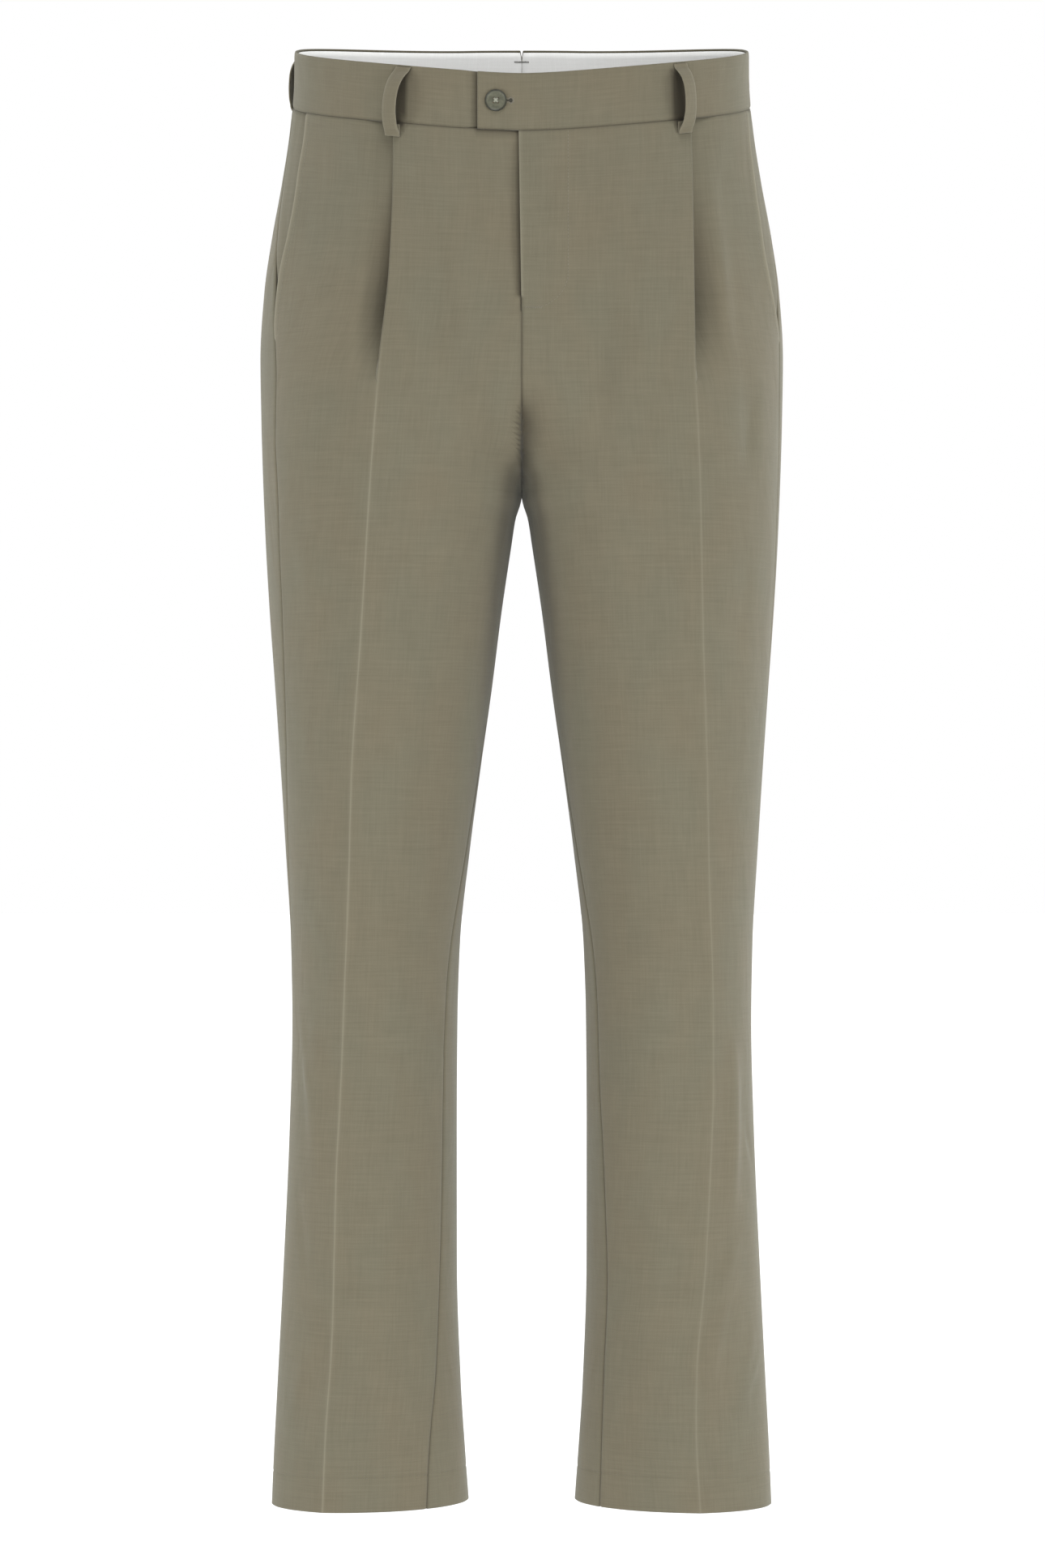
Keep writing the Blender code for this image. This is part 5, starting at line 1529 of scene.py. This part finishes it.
LINEN = linen_group()
RUMPLES = soft_creases_group()


def cloth_finish(name, warm, cool, painted_pale, slubs=1.0, rumple=1.0, depth=(0.024, 0.019, 0.012)):
    """Matt woven cloth: a warm and a cool cast in broad clouds, uneven yarns, painted highlights in a
    pale colour along pressed creases and edges, painted shade in the depth colour in seams, pleats,
    laps and the crotch, and a raised weave."""
    made, tree, shader = new_finish(name, warm, 0.9)
    for socket, value in (("Sheen Weight", 0.17), ("Sheen Roughness", 0.5),
                          ("Sheen Tint", (0.93, 0.93, 0.84)), ("Specular IOR Level", 0.15)):
        feed(tree, shader.inputs[socket], value)
    flat = add(tree, "ShaderNodeUVMap", uv_map="flat_cloth").outputs[0]
    yarns = add(tree, "ShaderNodeGroup", node_tree=LINEN)
    yarns.inputs["Slubs"].default_value = slubs
    tree.links.new(flat, yarns.inputs["Flat Cloth"])

    def mixed(base, other, share, blend="MIX"):
        """Base colour with another over it, by a share; the inputs may be colours or sockets."""
        mix = add(tree, "ShaderNodeMix", data_type="RGBA", blend_type=blend)
        for socket, value in ((mix.inputs[6], base), (mix.inputs[7], other), (mix.inputs[0], share)):
            feed(tree, socket, value)
        return mix.outputs[2]

    clouds = ramp_of(tree, yarns.outputs["Clouds"], (0.0, 0.0, 0.0), (1.0, 1.0, 1.0), 0.36, 0.64)
    grain = ramp_of(tree, yarns.outputs["Shade"], (0.7, 0.69, 0.67), (1.0, 1.0, 1.0), 0.1, 0.75)
    colour = mixed(mixed(warm, cool, clouds), grain, 1.0, "MULTIPLY")
    # Painted highlights in the pale colour, then painted shade in the depth colour.
    for mark, over, times in (("wear", painted_pale, 0.6), ("shade", depth, 0.9)):
        value = add(tree, "ShaderNodeAttribute", attribute_name=mark).outputs["Fac"]
        share = maths(tree, "MULTIPLY_ADD", value, times, 0.0, use_clamp=True)
        colour = mixed(colour, over, share)
    tree.links.new(colour, shader.inputs["Base Color"])
    rumples = add(tree, "ShaderNodeGroup", node_tree=RUMPLES)
    tree.links.new(flat, rumples.inputs["Flat Cloth"])
    soft = bump(tree, rumples.outputs["Height"], 0.5, 0.003 * rumple)
    fine = bump(tree, yarns.outputs["Height"], 0.4, 0.0002, soft)
    tree.links.new(fine, shader.inputs["Normal"])
    return made


def thread_finish(name, colour):
    """Twisted sewing thread."""
    made, tree, shader = new_finish(name, colour, 0.6)
    shader.inputs["Sheen Weight"].default_value = 0.2
    noise = object_noise(tree, 900.0, in_Detail=2.0)
    dark, light = (tuple(c * times for c in colour) for times in (0.75, 1.2))
    tree.links.new(ramp_of(tree, noise, dark, light), shader.inputs["Base Color"])
    tree.links.new(bump(tree, noise, 0.4, 0.0001), shader.inputs["Normal"])
    return made


def button_finish(name, dark, light):
    """Satin plastic with a faint horn-like cloud."""
    made, tree, shader = new_finish(name, light, 0.45)
    shader.inputs["Specular IOR Level"].default_value = 0.3
    noise = object_noise(tree, 260.0, in_Detail=3.0, in_Distortion=1.2)
    tree.links.new(ramp_of(tree, noise, dark, light, 0.3, 0.7), shader.inputs["Base Color"])
    return made


def metal_finish():
    """Dull plated metal with faint handling marks."""
    made, tree, shader = new_finish("zip_metal", (0.36, 0.33, 0.27), 0.4)
    shader.inputs["Metallic"].default_value = 1.0
    noise = object_noise(tree, 420.0, in_Detail=4.0)
    rough = add(tree, "ShaderNodeMapRange", in_3=0.3, in_4=0.55)
    tree.links.new(noise, rough.inputs[0])
    tree.links.new(rough.outputs[0], shader.inputs["Roughness"])
    tree.links.new(ramp_of(tree, noise, (0.25, 0.225, 0.18), (0.46, 0.43, 0.36)),
                   shader.inputs["Base Color"])
    return made


# ---- Building the looks -------------------------------------------------------------------------
# Cloths have a warm colour, a cool one and a pale one for painted highlights.
CHINO = cloth_finish("chino_linen", (0.117, 0.102, 0.069), (0.112, 0.102, 0.0705),
                     (0.23, 0.212, 0.158))
LINING = cloth_finish("lining_twill", (0.98, 0.975, 0.96), (0.96, 0.965, 0.95), (0.98, 0.97, 0.96),
                      0.4, 0.4, (0.4, 0.39, 0.37))
ZIP_TAPE = cloth_finish("zip_tape", (0.2, 0.172, 0.12), (0.18, 0.168, 0.115), (0.2, 0.18, 0.13),
                        0.4, 0.2)
THREAD = thread_finish("thread_olive", (0.112, 0.1, 0.069))
DARK_THREAD = thread_finish("thread_shadowed", (0.05, 0.043, 0.03))
PALE_THREAD = thread_finish("thread_pale", (0.2, 0.2, 0.155))
# Near-black for the buttonhole's slit: painted shade.
SLIT_SHADE, _, _ = new_finish("buttonhole_dark", (0.02, 0.018, 0.012), 0.9)
BUTTON = button_finish("button_plastic", (0.05, 0.051, 0.034), (0.082, 0.081, 0.055))
# A darker copy of the button's finish for its rim: painted shade.
BUTTON_RIM_SHADE = button_finish("button_rim", (0.012, 0.012, 0.007), (0.028, 0.028, 0.017))
METAL = metal_finish()

for one_side in (RIGHT, LEFT):
    front_panel(one_side, CHINO)
    back_panel(one_side, CHINO)
    pocket_facing(one_side, CHINO)
    waistband(one_side, CHINO, LINING)
fly_pieces(CHINO, ZIP_TAPE)
rise_seam("rise_seam_front", True, CHINO)
rise_seam("rise_seam_back", False, CHINO)
LOOP_GRIDS = [(loop["side"], belt_loop(loop, CHINO)) for loop in LOOP_LIST]
loop_stitches(LOOP_GRIDS, THREAD)
sewing(THREAD, DARK_THREAD)
zip_teeth(METAL)
zip_slider(METAL)
button(BUTTON, BUTTON_RIM_SHADE, PALE_THREAD)
buttonhole(THREAD, SLIT_SHADE)


# ---- Studio -------------------------------------------------------------------------------------
HEM_WORLD = -WAIST_HEIGHT * MM
CAMERA_SIDE, CAMERA_AWAY, CAMERA_HEIGHT = 0.0006, 4.2, 0.55   # height is above the hems
FLOOR_SIZE, FLOOR_DROP, SKY_LIGHT = 60.0, 0.25, 0.82
FOCAL_PIXELS, IMAGE_HEIGHT = 6885.0, 1935.0


def studio():
    """A plain pale floor, soft light from all round, and a camera straight in front."""
    bpy.ops.object.select_all(action="DESELECT")
    bpy.ops.mesh.primitive_plane_add(size=FLOOR_SIZE, location=(0, 0, HEM_WORLD - FLOOR_DROP))
    floor = bpy.context.active_object
    floor.name = "floor"
    pale, _, _ = new_finish("pale_floor", (0.97, 0.97, 0.97), 0.9)
    floor.data.materials.append(pale)
    world = bpy.data.worlds.new("studio")
    bpy.context.scene.world = world
    world.use_nodes = True
    tree = world.node_tree
    soft = tree.nodes["Background"]
    soft.inputs["Color"].default_value = (0.98, 0.99, 1.0, 1.0)
    soft.inputs["Strength"].default_value = SKY_LIGHT
    backdrop = add(tree, "ShaderNodeBackground", in_Color=(1.0, 1.0, 1.0, 1.0), in_Strength=1.0)
    path = add(tree, "ShaderNodeLightPath")
    seen = add(tree, "ShaderNodeMixShader")
    tree.links.new(path.outputs["Is Camera Ray"], seen.inputs[0])
    tree.links.new(soft.outputs[0], seen.inputs[1])
    tree.links.new(backdrop.outputs[0], seen.inputs[2])
    tree.links.new(seen.outputs[0], tree.nodes["World Output"].inputs["Surface"])

    def lamp(kind, name, place, aim, power, size, colour=(1.0, 1.0, 1.0)):
        light = bpy.data.lights.new(name, kind)
        light.energy, light.color = power, colour
        if kind == "AREA":
            light.shape = "RECTANGLE"
            light.size, light.size_y = size
        else:
            light.angle = math.radians(size)
        made = bpy.data.objects.new(name, light)
        bpy.context.scene.collection.objects.link(made)
        made.location = place
        made.rotation_euler = (Vector(aim) - Vector(place)).to_track_quat("-Z", "Y").to_euler()
        return made

    lamp("SUN", "overhead", (0.15, -0.42, 1.0), (0, 0, 0), 1.75, 25)
    cool = (0.97, 1.0, 1.0)
    lamp("AREA", "side_left", (2.6, -1.3, -0.8), (0, 0, -0.7), 50, (0.7, 1.6), cool)
    lamp("AREA", "side_right", (-2.6, -1.3, -0.9), (0, 0, -0.8), 50, (0.7, 1.4), cool)
    lamp("AREA", "quarter_left", (1.7, -2.5, -0.9), (0, 0, -0.7), 13, (0.6, 1.0))
    lamp("AREA", "quarter_right", (-1.7, -2.5, -0.9), (0, 0, -0.7), 13, (0.6, 1.0))
    low = lamp("AREA", "low_front", (0.3, -1.3, -1.13), (0, 0, -0.9), 2.4, (1.4, 0.25))
    low.visible_camera = False

    data = bpy.data.cameras.new("camera")
    data.lens = data.sensor_width * FOCAL_PIXELS / IMAGE_HEIGHT
    data.clip_end = 100.0
    camera = bpy.data.objects.new("camera", data)
    bpy.context.scene.collection.objects.link(camera)
    camera.location = (CAMERA_SIDE, -CAMERA_AWAY, HEM_WORLD + CAMERA_HEIGHT)
    camera.rotation_euler = (math.pi / 2, 0, 0)
    bpy.context.scene.camera = camera
    bpy.context.scene.view_settings.view_transform = "Standard"


studio()
